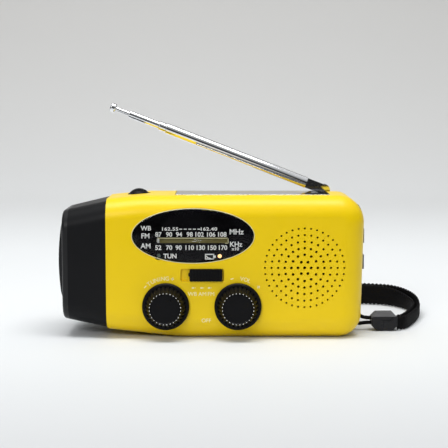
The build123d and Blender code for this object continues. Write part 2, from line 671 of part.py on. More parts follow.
with BuildPart() as main_board:
    block((-41.5, 17.2), (BOARD_FACE, BOARD_BACK), (6.4, 56.0))
    for axis in (TUNING_AXIS, VOLUME_AXIS):
        rod_y(axis, SHAFT_RADIUS + 0.95, (BOARD_FACE - 1, BOARD_BACK + 1), mode=Mode.SUBTRACT)
    for axis in SCREW_POSITIONS[:2]:
        rod_y(axis, BOSS_RADIUS + 0.1, (BOARD_FACE - 1, BOARD_BACK + 1), mode=Mode.SUBTRACT)
    # the small board under the flashlight switch, and the posts that guide the dial cord
    block((-36.3, -25.5), (BOARD_BACK - 0.1, 4.6), (48.8, 50.0))
    for post in CORD_POSTS:
        rod_y(post, POST_TURN - DIAL_CORD_RADIUS - 0.05, (CORD_PLANE - 1, BOARD_FACE + 0.1))
hand_in(main_board, "main_board")

with BuildPart() as battery_pack:
    cell_radius = 5.15
    for row in range(3):
        centre_z = 14.6 + row * 2 * (cell_radius - 0.02)
        rod_x((12.4, centre_z), cell_radius, (-35.0, -5.0))
hand_in(battery_pack, "battery_pack")

with BuildPart() as ferrite_rod:
    rod_x((8.0, 46.0), 4.0, (-36.0, 0.6))
hand_in(ferrite_rod, "ferrite_rod")

with BuildPart() as ferrite_coil:
    rod_x((8.0, 46.0), 4.9, (-22.0, -4.0))
    for turn in range(1, 12):
        x = -22.0 + 1.5 * turn
        with Locations(Location((x, 8.0, 46.0), (0, 90, 0))):
            Torus(4.9, 0.3, mode=Mode.SUBTRACT)
    rod_x((8.0, 46.0), 4.0, (-30, 10), mode=Mode.SUBTRACT)
hand_in(ferrite_coil, "ferrite_coil")

# ---------------------------------------------------------------- the speaker


def speaker_ring(profile):
    """Turn a closed outline of (radius, y) points about the speaker's axis."""
    plane = Plane(origin=(SPEAKER_AXIS[0], 0, SPEAKER_AXIS[1]), x_dir=(1, 0, 0), z_dir=(0, 0, 1))
    with BuildSketch(plane) as outline:
        with BuildLine():
            Polyline(*profile, close=True)
        make_face()
    revolve(outline.sketch, axis=Axis((SPEAKER_AXIS[0], 0, SPEAKER_AXIS[1]), (0, 1, 0)))


with BuildPart() as grille_cloth:
    rod_y(SPEAKER_AXIS, 19.6, (INNER_FRONT, INNER_FRONT + 0.3))
hand_in(grille_cloth, "grille_cloth")

RIM_Y = INNER_FRONT + 0.3
BASKET_Y = -9.5

with BuildPart() as speaker_frame:
    speaker_ring(
        [(17.6, RIM_Y), (20.0, RIM_Y), (20.0, RIM_Y + 1.2), (18.4, RIM_Y + 1.2), (12.2, BASKET_Y)]
        + [(4.6, BASKET_Y), (4.6, BASKET_Y - 0.8), (11.6, BASKET_Y - 0.8), (17.6, RIM_Y + 1.0)]
    )
    # four windows in the basket
    with Locations(Location((SPEAKER_AXIS[0], -12.0, SPEAKER_AXIS[1]), (90, 0, 0))):
        with PolarLocations(14.0, 4, start_angle=45):
            Box(3.4, 12.0, 3.4, mode=Mode.SUBTRACT)
hand_in(speaker_frame, "speaker_frame")

with BuildPart() as speaker_cone:
    speaker_ring(
        [(17.5, RIM_Y + 0.6), (17.5, RIM_Y + 1.0), (16.6, RIM_Y + 1.0), (6.0, -12.2), (0.0, -13.4)]
        + [(0.0, -13.8), (5.6, -12.7), (16.2, RIM_Y + 0.6)]
    )
hand_in(speaker_cone, "speaker_cone")

with BuildPart() as speaker_magnet:
    rod_y(SPEAKER_AXIS, 11.0, (BASKET_Y, -3.6))
    chamfer(speaker_magnet.edges().filter_by(GeomType.CIRCLE), 0.5)
    rod_y(SPEAKER_AXIS, 4.0, (BASKET_Y - 1.6, BASKET_Y + 0.1))
hand_in(speaker_magnet, "speaker_magnet")

# ---------------------------------------------------------------- the solar panel

with BuildPart() as solar_cell:
    block(SOLAR_X, SOLAR_Y, (CASE_TOP - 1.6, CASE_TOP - 0.9))
hand_in(solar_cell, "solar_cell")

with BuildPart() as solar_cover:
    block(SOLAR_X, SOLAR_Y, (CASE_TOP - 0.9, CASE_TOP + 0.1))
    chamfer(solar_cover.faces().sort_by(Axis.Z)[-1].edges(), 0.25)
hand_in(solar_cover, "solar_cover")

# ---------------------------------------------------------------- the telescopic antenna

EAR_RADIUS = 2.5
LUG_THICKNESS = 1.8
EAR_GAP = 0.1

with BuildPart() as antenna_swivel:
    rod_z(PIVOT, 5.0, (WELL_FLOOR + 0.15, 58.3))
    chamfer(antenna_swivel.faces().sort_by(Axis.Z)[-1].edges(), 0.4)
    rod_z(PIVOT, STEM_RADIUS, (51.0, 58.0))
    rod_z(PIVOT, 3.4, (51.0, WELL_FLOOR - 2.4))
    for side in (-1, 1):
        inner = LUG_THICKNESS / 2 + EAR_GAP
        low, high = sorted((PIVOT[1] + side * inner, PIVOT[1] + side * (inner + 1.3)))
        block((PIVOT[0] - EAR_RADIUS, PIVOT[0] + EAR_RADIUS), (low, high), (58.0, PIVOT[2]))
        rod_y((PIVOT[0], PIVOT[2]), EAR_RADIUS, (low, high))
    rod_y((PIVOT[0], PIVOT[2]), PIVOT_PIN_RADIUS, (5, 25), mode=Mode.SUBTRACT)
hand_in(antenna_swivel, "antenna_swivel")

with BuildPart() as antenna_pivot_pin:
    reach = LUG_THICKNESS / 2 + EAR_GAP + 1.3
    rod_y((PIVOT[0], PIVOT[2]), PIVOT_PIN_RADIUS, (PIVOT[1] - reach, PIVOT[1] + reach))
    for side in (-1, 1):
        low, high = sorted((PIVOT[1] + side * reach, PIVOT[1] + side * (reach + 0.5)))
        rod_y((PIVOT[0], PIVOT[2]), 1.5, (low, high))
hand_in(antenna_pivot_pin, "antenna_pivot_pin")

ANTENNA = Plane(
    origin=PIVOT,
    x_dir=(0, 1, 0),
    z_dir=(-cos(radians(ANTENNA_TILT)), 0, sin(radians(ANTENNA_TILT))),
)


def stage(radius, bore, span, lip=0.0):
    """One tube of the antenna, from span[0] to span[1] along it, its mouth rolled in by lip."""
    with BuildSketch(ANTENNA.offset(span[0])) as ring:
        Circle(radius)
        if bore:
            Circle(bore, mode=Mode.SUBTRACT)
    extrude(ring.sketch, amount=span[1] - span[0])
    if lip:
        rims = [e for e in edges().filter_by(GeomType.CIRCLE) if abs(e.radius - radius) < 0.01]
        mouth = max(rims, key=lambda e: (e.center() - Vector(*PIVOT)).length)
        chamfer(mouth, lip)


with BuildPart() as antenna_tube:
    stage(2.5, 2.2, (10.5, 76.0), lip=0.2)
    stage(2.5, 0, (8.6, 10.6))
    with BuildSketch(Plane.XZ.offset(-PIVOT[1])) as lug:
        with Locations(Location((PIVOT[0], PIVOT[2], 0), (0, 0, 180 - ANTENNA_TILT))):
            with Locations((4.6, 0)):
                Rectangle(9.2, 4.4)
            Circle(2.2)
            Circle(PIVOT_PIN_RADIUS + RUNNING_CLEARANCE, mode=Mode.SUBTRACT)
    extrude(amount=LUG_THICKNESS / 2, both=True)
hand_in(antenna_tube, "antenna_tube")

with BuildPart() as antenna_section_2:
    stage(2.1, 1.75, (15.0, 79.4), lip=0.2)
hand_in(antenna_section_2, "antenna_section_2")

with BuildPart() as antenna_section_3:
    stage(1.65, 1.05, (30.0, 93.7), lip=0.2)
hand_in(antenna_section_3, "antenna_section_3")

with BuildPart() as antenna_rod:
    stage(0.95, 0, (46.0, 100.4))
    stage(2.1, 0, (100.0, 102.6))
    rims = [e for e in edges().filter_by(GeomType.CIRCLE) if e.radius > 2]
    fillet(rims, 0.7)
hand_in(antenna_rod, "antenna_rod")

# ---------------------------------------------------------------- crank, gears and generator


def gear_outline(module, teeth, axis, turn):
    """An involute spur gear's outline at (x, z), one tooth pointing along turn degrees from +X."""
    pitch_radius = module * teeth / 2
    base_radius = pitch_radius * cos(radians(PRESSURE_ANGLE))
    tip_radius = pitch_radius + 0.95 * module
    root_radius = pitch_radius - 1.2 * module
    start_radius = max(base_radius, root_radius + 0.02)

    def unwind(radius):
        """The involute angle at a radius, in degrees."""
        ratio = min(1.0, base_radius / radius)
        return degrees(sqrt(1 / ratio**2 - 1) - acos(ratio))

    half_tooth = degrees((pi * module / 2 - BACKLASH) / 2 / pitch_radius)

    def flank(radius, side, centre):
        """A point of the tooth's flank at a radius."""
        angle = centre + side * (half_tooth + unwind(pitch_radius) - unwind(radius))
        return polar(radius, angle)

    def polar(radius, angle):
        return (
            axis[0] + radius * cos(radians(angle)),
            -(axis[1] + radius * sin(radians(angle))),
        )

    radii = [start_radius + (tip_radius - start_radius) * step / 3 for step in range(4)]
    outline = []
    for tooth in range(teeth):
        centre = turn + tooth * 360 / teeth
        root_half = half_tooth + unwind(pitch_radius)
        rising = [flank(r, -1, centre) for r in radii]
        falling = [flank(r, 1, centre) for r in reversed(radii)]
        outline += [polar(root_radius, centre - root_half), *rising]
        outline += [polar(tip_radius, centre), *falling, polar(root_radius, centre + root_half)]
    return outline


def gear(module, teeth, axis, y, turn):
    """A spur gear between two depths."""
    with BuildSketch(along_y(y[0])) as face:
        with BuildLine():
            Polyline(*gear_outline(module, teeth, axis, turn), close=True)
        make_face()
    extrude(face.sketch, amount=y[1] - y[0])


COARSE_DISTANCE = COARSE_MODULE * (WHEEL_TEETH + PINION_TEETH) / 2
FINE_DISTANCE = FINE_MODULE * (WHEEL_TEETH + PINION_TEETH) / 2
FINE_DIRECTION = 240.0  # from the compound gear to the rotor, degrees from +X
COMPOUND_AXIS = (CRANK_AXIS[0] - COARSE_DISTANCE, CRANK_AXIS[1])
ROTOR_AXIS = (
    COMPOUND_AXIS[0] + FINE_DISTANCE * cos(radians(FINE_DIRECTION)),
    COMPOUND_AXIS[1] + FINE_DISTANCE * sin(radians(FINE_DIRECTION)),
)
COARSE_Y = (14.2, 16.7)
FINE_Y = (10.2, 12.4)
FRONT_PLATE_Y = (7.6, 8.8)
BACK_PLATE_Y = (17.4, 18.6)
ROTOR_Y = (-0.6, 6.6)
AXLE_RADIUS = 1.2
HALF_TOOTH = 180 / PINION_TEETH
ARM_Y = (BACK + 0.6, BACK + 4.6)
ARM_LENGTH = 42.0

with BuildPart() as crank_gear:
    gear(COARSE_MODULE, WHEEL_TEETH, CRANK_AXIS, COARSE_Y, 180.0)
    rod_y(CRANK_AXIS, 4.0, (COARSE_Y[0], ARM_Y[0] + 2.6))
    rod_y(CRANK_AXIS, AXLE_RADIUS, (FRONT_PLATE_Y[0], COARSE_Y[0] + 0.1))
    rod_y(CRANK_AXIS, SCREW_RADIUS, (BACK - 6, ARM_Y[1]), mode=Mode.SUBTRACT)
    with Locations(Location((CRANK_AXIS[0], COARSE_Y[0], CRANK_AXIS[1]), (90, 0, 0))):
        with PolarLocations(9.6, 6):
            Cylinder(2.4, 10, mode=Mode.SUBTRACT)
hand_in(crank_gear, "crank_gear")

with BuildPart() as compound_gear:
    gear(COARSE_MODULE, PINION_TEETH, COMPOUND_AXIS, (FINE_Y[0], COARSE_Y[1] + 0.3), HALF_TOOTH)
    gear(FINE_MODULE, WHEEL_TEETH, COMPOUND_AXIS, FINE_Y, FINE_DIRECTION)
    rod_y(COMPOUND_AXIS, AXLE_RADIUS, (FRONT_PLATE_Y[0], BACK_PLATE_Y[1]))
hand_in(compound_gear, "compound_gear")

with BuildPart() as rotor_pinion:
    pinion_y = (FINE_Y[0] - 0.3, FINE_Y[1] + 0.3)
    gear(FINE_MODULE, PINION_TEETH, ROTOR_AXIS, pinion_y, FINE_DIRECTION + 180 + HALF_TOOTH)
    rod_y(ROTOR_AXIS, AXLE_RADIUS, (ROTOR_Y[0], BACK_PLATE_Y[1]))
hand_in(rotor_pinion, "rotor_pinion")

with BuildPart() as rotor_magnet:
    rod_y(ROTOR_AXIS, 7.4, ROTOR_Y)
    rod_y(ROTOR_AXIS, AXLE_RADIUS, (-10, 10), mode=Mode.SUBTRACT)
hand_in(rotor_magnet, "rotor_magnet")

with BuildPart() as stator:
    rod_y(ROTOR_AXIS, 10.0, (ROTOR_Y[0], FRONT_PLATE_Y[0]))
    rod_y(ROTOR_AXIS, 8.0, (-10, 10), mode=Mode.SUBTRACT)
hand_in(stator, "stator")

PLATE_X = (1.6, 44.0)
PLATE_Z = (13.0, 44.6)
PILLARS = ((4.4, 40.5), (23.5, 15.4))  # x, z


def gearbox_plate(y):
    """A flat plate with a running bore for each axle."""
    block(PLATE_X, y, PLATE_Z)
    fillet(edges().filter_by(Axis.Y), 2.0)
    for axis in (CRANK_AXIS, COMPOUND_AXIS, ROTOR_AXIS):
        rod_y(axis, AXLE_RADIUS + RUNNING_CLEARANCE, (y[0] - 1, y[1] + 1), mode=Mode.SUBTRACT)


with BuildPart() as gearbox_front_plate:
    gearbox_plate(FRONT_PLATE_Y)
    for axis in PILLARS:
        rod_y(axis, 2.0, (FRONT_PLATE_Y[1], BACK_PLATE_Y[0]))
hand_in(gearbox_front_plate, "gearbox_front_plate")

with BuildPart() as gearbox_back_plate:
    gearbox_plate(BACK_PLATE_Y)
    rod_y(CRANK_AXIS, 4.4, (BACK_PLATE_Y[0] - 1, BACK_PLATE_Y[1] + 1), mode=Mode.SUBTRACT)
    for axis in PILLARS:
        rod_y(axis, 2.6, (BACK_PLATE_Y[1] - 0.1, INNER_BACK))
hand_in(gearbox_back_plate, "gearbox_back_plate")

KNOB_PIVOT_X = CRANK_AXIS[0] - ARM_LENGTH
GRIP_RADIUS = 3.2
GRIP_SPAN = (3.2, 19.0)  # along the folded axle from its pivot, towards the hub
GRIP_Y = BACK + 0.7 + GRIP_RADIUS

with BuildPart() as crank_arm:
    with BuildSketch(along_y(ARM_Y[0])):
        with Locations(flat(CRANK_AXIS)):
            Circle(7.0)
        with Locations(flat((CRANK_AXIS[0] - ARM_LENGTH / 2 - 1.5, CRANK_AXIS[1]))):
            Rectangle(ARM_LENGTH + 3, 10.4)
    extrude(amount=ARM_Y[1] - ARM_Y[0])
    fillet(crank_arm.edges().filter_by(Axis.Y), 2.0)
    chamfer(crank_arm.faces().sort_by(Axis.Y)[-1].edges(), 0.5)
    rod_y(CRANK_AXIS, 4.0, (BACK, ARM_Y[0] + 2.6), mode=Mode.SUBTRACT)
    rod_y(CRANK_AXIS, SCREW_RADIUS, (BACK, BACK + 9), mode=Mode.SUBTRACT)
    # the fork that the folded grip lies in
    slot_x = (KNOB_PIVOT_X - 5, KNOB_PIVOT_X + GRIP_SPAN[1] + 0.6)
    slot_z = (CRANK_AXIS[1] - GRIP_RADIUS - 0.3, CRANK_AXIS[1] + GRIP_RADIUS + 0.3)
    block(slot_x, (BACK, BACK + 9), slot_z, mode=Mode.SUBTRACT)
    trunnion_z = (CRANK_AXIS[1] - 4.7, CRANK_AXIS[1] + 4.7)
    rod_z((KNOB_PIVOT_X, GRIP_Y), 0.9 + RUNNING_CLEARANCE, trunnion_z, mode=Mode.SUBTRACT)
hand_in(crank_arm, "crank_arm")

with BuildPart() as crank_screw:
    rod_y(CRANK_AXIS, SCREW_RADIUS, (BACK - 5.5, ARM_Y[1]))
    rod_y(CRANK_AXIS, 2.6, (ARM_Y[1], ARM_Y[1] + 1.2))
    for turn in (0, 90):
        with Locations(Location((CRANK_AXIS[0], ARM_Y[1] + 1.2, CRANK_AXIS[1]), (0, turn, 0))):
            Box(3.4, 1.2, 0.6, mode=Mode.SUBTRACT)
hand_in(crank_screw, "crank_screw")

GRIP_AXIS = (GRIP_Y, CRANK_AXIS[1])

with BuildPart() as crank_grip_axle:
    rod_z((KNOB_PIVOT_X, GRIP_Y), 2.2, (CRANK_AXIS[1] - 2.6, CRANK_AXIS[1] + 2.6))
    rod_x(GRIP_AXIS, 1.2, (KNOB_PIVOT_X, KNOB_PIVOT_X + GRIP_SPAN[1] - 1.5))
    rod_z((KNOB_PIVOT_X, GRIP_Y), 0.9, (trunnion_z[0] + 0.1, trunnion_z[1] - 0.1))
hand_in(crank_grip_axle, "crank_grip_axle")

with BuildPart() as crank_grip:
    grip_x = (KNOB_PIVOT_X + GRIP_SPAN[0], KNOB_PIVOT_X + GRIP_SPAN[1])
    rod_x(GRIP_AXIS, GRIP_RADIUS, grip_x)
    fillet(crank_grip.faces().sort_by(Axis.X)[-1].edges(), 1.0)
    rod_x(GRIP_AXIS, 1.2 + RUNNING_CLEARANCE, (grip_x[0] - 1, grip_x[1] - 1.4), mode=Mode.SUBTRACT)
hand_in(crank_grip, "crank_grip")

# ---------------------------------------------------------------- ports and their cover

with BuildPart() as port_board:
    block((46.6, 62.0), (PORT_Y + 6.6, PORT_Y + 7.8), (26.0, 48.0))
hand_in(port_board, "port_board")


def socket(width, height, centre_z, depth, tongue):
    """A metal socket shell that opens towards +X, with its plastic tongue."""
    y = (PORT_Y - width / 2, PORT_Y + width / 2)
    z = (centre_z - height / 2, centre_z + height / 2)
    skin = 0.4
    block((PORT_MOUTH - depth, PORT_MOUTH), y, z)
    inner_y = (y[0] + skin, y[1] - skin)
    inner_z = (z[0] + skin, z[1] - skin)
    block((PORT_MOUTH - depth + skin, PORT_MOUTH + 1), inner_y, inner_z, mode=Mode.SUBTRACT)
    block((PORT_MOUTH - depth, PORT_MOUTH - 1.5), (y[0] + 1.2, y[1] - 1.2), tongue)


with BuildPart() as usb_port:
    socket(13.2, 5.7, USB_PORT_Z, 13.0, (USB_PORT_Z + 0.3, USB_PORT_Z + 2.0))
hand_in(usb_port, "usb_port")

with BuildPart() as charge_port:
    socket(7.6, 2.9, CHARGE_PORT_Z, 5.6, (CHARGE_PORT_Z - 0.3, CHARGE_PORT_Z + 0.3))
    block((58.0, 61.0), (PORT_Y + 3.8, PORT_Y + 6.6), (CHARGE_PORT_Z - 1.2, CHARGE_PORT_Z + 1.2))
hand_in(charge_port, "charge_port")

with BuildPart() as port_cover:
    with BuildSketch(Plane.XZ.offset(-PORT_COVER_Y[1])):
        with Locations((62.0, (PORT_COVER_Z[0] + PORT_COVER_Z[1]) / 2)):
            Rectangle(16.0, PORT_COVER_Z[1] - PORT_COVER_Z[0])
        add(case_outline(-0.35), mode=Mode.INTERSECT)
        add(case_outline(1.4), mode=Mode.SUBTRACT)
    extrude(amount=PORT_COVER_Y[1] - PORT_COVER_Y[0])
    for centre_z in (USB_PORT_Z, CHARGE_PORT_Z + 0.6):
        block((64.0, 65.9), (PORT_Y - 4.6, PORT_Y + 4.6), (centre_z - 3.1, centre_z + 3.1))
    rod_y((PORT_HINGE_X, PORT_COVER_Z[0]), 0.85, PORT_COVER_Y)
    rod_y((PORT_HINGE_X, PORT_COVER_Z[0]), 0.4 + RUNNING_CLEARANCE, (-20, 20), mode=Mode.SUBTRACT)
hand_in(port_cover, "port_cover")

with BuildPart() as port_cover_pin:
    rod_y((PORT_HINGE_X, PORT_COVER_Z[0]), 0.4, hinge_y)
hand_in(port_cover_pin, "port_cover_pin")

# ---------------------------------------------------------------- wrist strap

CLIP_Y = (STRAP_Y - 3.4, STRAP_Y + 3.6)
CLIP_Z = (FLOOR_GAP, FLOOR_GAP + 7.9)

with BuildPart() as strap_clip:
    block(CLIP_X, CLIP_Y, CLIP_Z)
    chamfer(strap_clip.edges().filter_by(Axis.Y), 2.2)
    # a broad bevel along the top of the front, and small rounds on the other long edges
    long_edges = strap_clip.edges().filter_by(Axis.X)
    top_front = [e for e in long_edges if e.center().Z > 7 and e.center().Y < STRAP_Y]
    others = [e for e in long_edges if e.center().Z < 7 or e.center().Y > STRAP_Y]
    fillet(others, 0.8)
    chamfer(top_front, 1.7)
    # the parting line of the catch
    block((CLIP_X[0] + 4.4, CLIP_X[0] + 8.3), (CLIP_Y[0] - 1, CLIP_Y[0] + 0.5), (4.5, 5.0), mode=Mode.SUBTRACT)
    with Locations(Location((CLIP_X[0] + 8.8, CLIP_Y[0], 5.4), (0, -50, 0))):
        Box(2.0, 1.0, 0.5, mode=Mode.SUBTRACT)
hand_in(strap_clip, "strap_clip")


def arc_radii(points):
    """The largest tangent arcs that the runs allow: 0.45 of the shorter run over tan(half turn)."""
    runs = [Vector(*b) - Vector(*a) for a, b in zip(points, points[1:])]
    radii = []
    for before, after in zip(runs, runs[1:]):
        shorter = min(before.length, after.length)
        radii.append(0.45 * shorter / tan(radians(before.get_angle(after) / 2)))
    return radii


# both ends of the thin cord are held in the clip, and its bight goes round the strap bar
CORD_ROUTE = [
    (70.0, 3.4),
    (66.8, 3.3),
    (64.4, 2.8),
    (62.0, 4.5),
    (56.3, 4.7),
    (56.3, 10.5),
    (61.0, 9.6),
    (64.4, 7.2),
    (66.6, 5.5),
    (70.0, 5.5),
]

with BuildPart() as strap_cord:
    with BuildLine(Plane.XZ.offset(-STRAP_Y)) as cord_line:
        FilletPolyline(*CORD_ROUTE, radius=arc_radii(CORD_ROUTE))
    with BuildSketch(Plane(origin=cord_line.wire() @ 0, z_dir=cord_line.wire() % 0)):
        Circle(STRAP_CORD_RADIUS)
    sweep()
hand_in(strap_cord, "strap_cord")

# the webbing stands on its edge: out of the clip, round to the back, and back beside itself
WEBBING_ROUTE = [
    (81.4, -2.0),
    (84.6, -2.0),
    (88.9, 8.0),
    (94.0, 21.5),
    (97.9, 38.5),
    (97.0, 52.5),
    (89.6, 65.0),
    (77.8, 70.4),
    (56.0, 72.5),
    (34.0, 75.5),
    (15.0, 82.0),
    (0.5, 80.0),
    (-3.5, 68.0),
    (6.5, 60.0),
    (22.0, 62.5),
    (40.0, 66.5),
    (58.0, 67.6),
    (76.6, 67.0),
    (87.2, 62.2),
    (93.4, 51.0),
    (95.5, 38.8),
    (91.7, 22.2),
    (86.6, 8.9),
    (83.4, 1.6),
    (81.4, 1.6),
]

with BuildPart() as wrist_strap:
    with BuildLine(Plane.XY.offset(FLOOR_GAP)) as webbing_line:
        FilletPolyline(*WEBBING_ROUTE, radius=arc_radii(WEBBING_ROUTE))
    with BuildSketch(Plane.XY.offset(FLOOR_GAP)):
        trace(webbing_line.wire(), line_width=WEBBING_THICKNESS)
    extrude(amount=WEBBING_WIDTH)
hand_in(wrist_strap, "wrist_strap")

for title, points, line in (
    ("strap cord", CORD_ROUTE, cord_line),
    ("wrist strap", WEBBING_ROUTE, webbing_line),
):
    print(title, "length", round(line.wire().length, 1), "mm; radii", [round(r, 1) for r in arc_radii(points)])
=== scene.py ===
"""Looks for the portable radio: materials, printing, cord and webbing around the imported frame.

Metres, in the frame's axes: +X from the flashlight head to the speaker end, +Y from the dial to
the back, +Z up.
"""

import math

import bmesh
import bpy
from mathutils import Matrix, Vector


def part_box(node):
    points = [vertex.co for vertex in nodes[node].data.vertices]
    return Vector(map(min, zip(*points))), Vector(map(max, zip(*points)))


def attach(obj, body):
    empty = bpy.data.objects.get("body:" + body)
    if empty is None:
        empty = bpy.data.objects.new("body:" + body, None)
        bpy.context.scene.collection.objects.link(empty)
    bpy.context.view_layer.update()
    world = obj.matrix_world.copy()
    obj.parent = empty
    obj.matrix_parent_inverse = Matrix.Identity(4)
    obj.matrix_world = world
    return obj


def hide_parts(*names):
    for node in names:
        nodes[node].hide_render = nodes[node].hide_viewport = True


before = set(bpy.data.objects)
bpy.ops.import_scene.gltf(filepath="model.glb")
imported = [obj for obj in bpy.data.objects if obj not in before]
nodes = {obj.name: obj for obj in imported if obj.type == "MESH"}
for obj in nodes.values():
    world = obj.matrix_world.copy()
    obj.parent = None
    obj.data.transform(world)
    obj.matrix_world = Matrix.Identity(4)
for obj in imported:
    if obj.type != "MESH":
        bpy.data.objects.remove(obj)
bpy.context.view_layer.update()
MM = 0.001

# ---------------------------------------------------------------- camera

camera_data = bpy.data.cameras.new("camera")
camera_data.lens = 97.4
camera_data.sensor_width = 36.0
camera_data.clip_start = 0.01
camera_data.clip_end = 20.0
camera = bpy.data.objects.new("camera", camera_data)
camera.location = (0.005, -0.5305, 0.101)
camera.rotation_euler = (math.radians(90 - 5.8), 0, 0)
bpy.context.scene.collection.objects.link(camera)
bpy.context.scene.camera = camera


# ---------------------------------------------------------------- helpers


def link(name, data):
    """An object of this data, in the scene."""
    piece = bpy.data.objects.new(name, data)
    bpy.context.scene.collection.objects.link(piece)
    return piece


def nurbs_route(name, points):
    """A curve of one open NURBS spline with these control points."""
    data = bpy.data.curves.new(name, "CURVE")
    data.dimensions = "3D"
    data.resolution_u = 12
    spline = data.splines.new("NURBS")
    spline.points.add(len(points) - 1)
    for target, point in zip(spline.points, points):
        target.co = (*point, 1.0)
    spline.order_u = 3
    spline.use_endpoint_u = True
    return data


def read_route(data):
    """The points along a route's own line, for a curve with no bevel."""
    carrier = bpy.data.objects.new("route", data)
    mesh = bpy.data.meshes.new_from_object(carrier)
    points = [v.co.copy() for v in mesh.vertices]
    bpy.data.objects.remove(carrier)
    bpy.data.meshes.remove(mesh)
    return points


def evenly(points, step):
    """The polyline again, with points a step apart."""
    along = [0.0]
    for a, b in zip(points, points[1:]):
        along.append(along[-1] + (b - a).length)
    count = max(2, round(along[-1] / step))
    out, span = [], 0
    for i in range(count + 1):
        at = along[-1] * i / count
        while span < len(points) - 2 and along[span + 1] < at:
            span += 1
        run = max(along[span + 1] - along[span], 1e-12)
        out.append(points[span].lerp(points[span + 1], (at - along[span]) / run))
    return out


def mesh_from(name, verts, faces, smooth=True):
    """A mesh object from points and faces."""
    mesh = bpy.data.meshes.new(name)
    mesh.from_pydata([tuple(v) for v in verts], [], faces)
    mesh.validate()
    if smooth:
        mesh.shade_smooth()
    return link(name, mesh)


# ---------------------------------------------------------------- cord and webbing

STRAP_Y = -0.0006
CORD_DIAMETER = 0.0017
CORD_ROUTE = [
    (0.0700, 0.0034),
    (0.0668, 0.0033),
    (0.0644, 0.0028),
    (0.0620, 0.0045),
    (0.0563, 0.0047),
    (0.0563, 0.0105),
    (0.0610, 0.0096),
    (0.0644, 0.0072),
    (0.0666, 0.0055),
    (0.0700, 0.0055),
]
BRAID_PITCH = 0.0016
BRAID_HEIGHT = 0.00007
BRAID_STRANDS = 4  # each way round the cord


def braid_mesh(name, route, radius):
    """A round braided cord along a route: crossing strands stand out as small diamonds."""
    step = 0.00012
    line = evenly(route, step)
    count = 28
    verts, faces = [], []
    across = Vector((0, 1, 0))
    for i, point in enumerate(line):
        before, after = line[max(i - 1, 0)], line[min(i + 1, len(line) - 1)]
        tangent = (after - before).normalized()
        up = tangent.cross(across).normalized()
        phase = 2 * math.pi * i * step / BRAID_PITCH
        for k in range(count):
            a = 2 * math.pi * k / count
            left = math.cos(BRAID_STRANDS * a + phase)
            right = math.cos(BRAID_STRANDS * a - phase)
            reach = radius - BRAID_HEIGHT + BRAID_HEIGHT * max(left, right)
            verts.append(point + (across * math.cos(a) + up * math.sin(a)) * reach)
        if i:
            base = (i - 1) * count
            for k in range(count):
                n = (k + 1) % count
                faces.append((base + k, base + n, base + count + n, base + count + k))
    faces.append(tuple(reversed(range(count))))
    faces.append(tuple(range(len(verts) - count, len(verts))))
    return mesh_from(name, verts, faces), line


cord_line = read_route(nurbs_route("cord_route", [(x, STRAP_Y, z) for x, z in CORD_ROUTE]))
cord_piece, cord_path = braid_mesh("strap_cord_braid", cord_line, CORD_DIAMETER / 2)

FLOOR_GAP = 0.0003
WEBBING_WIDTH = 0.0100
WEBBING_THICKNESS = 0.0012
WEBBING_ROUTE = [
    (0.0814, -0.0020),
    (0.0846, -0.0020),
    (0.0889, 0.0080),
    (0.0940, 0.0215),
    (0.0979, 0.0385),
    (0.0970, 0.0525),
    (0.0896, 0.0650),
    (0.0778, 0.0704),
    (0.0560, 0.0725),
    (0.0340, 0.0755),
    (0.0150, 0.0820),
    (0.0005, 0.0800),
    (-0.0035, 0.0680),
    (0.0065, 0.0600),
    (0.0220, 0.0625),
    (0.0400, 0.0665),
    (0.0580, 0.0676),
    (0.0766, 0.0670),
    (0.0872, 0.0622),
    (0.0934, 0.0510),
    (0.0955, 0.0388),
    (0.0917, 0.0222),
    (0.0866, 0.0089),
    (0.0834, 0.0016),
    (0.0814, 0.0016),
]
PICOT_PITCH = 0.0020
PICOT_HEIGHT = 0.00055
RIB_PITCH = 0.0010
RIB_HEIGHT = 0.00010
SELVAGE = 0.1  # share of the half width where the ribs are low
SELVAGE_RIB = 0.3
EDGE_THICKNESS, EDGE_SWELL = 0.35, 2.2  # the tape's edge is thinner, and thickens inwards
GATHERED_WIDTH = 0.0062
GATHERED_SPAN = (0.036, 0.078)  # from each end, the tape opens out between these lengths


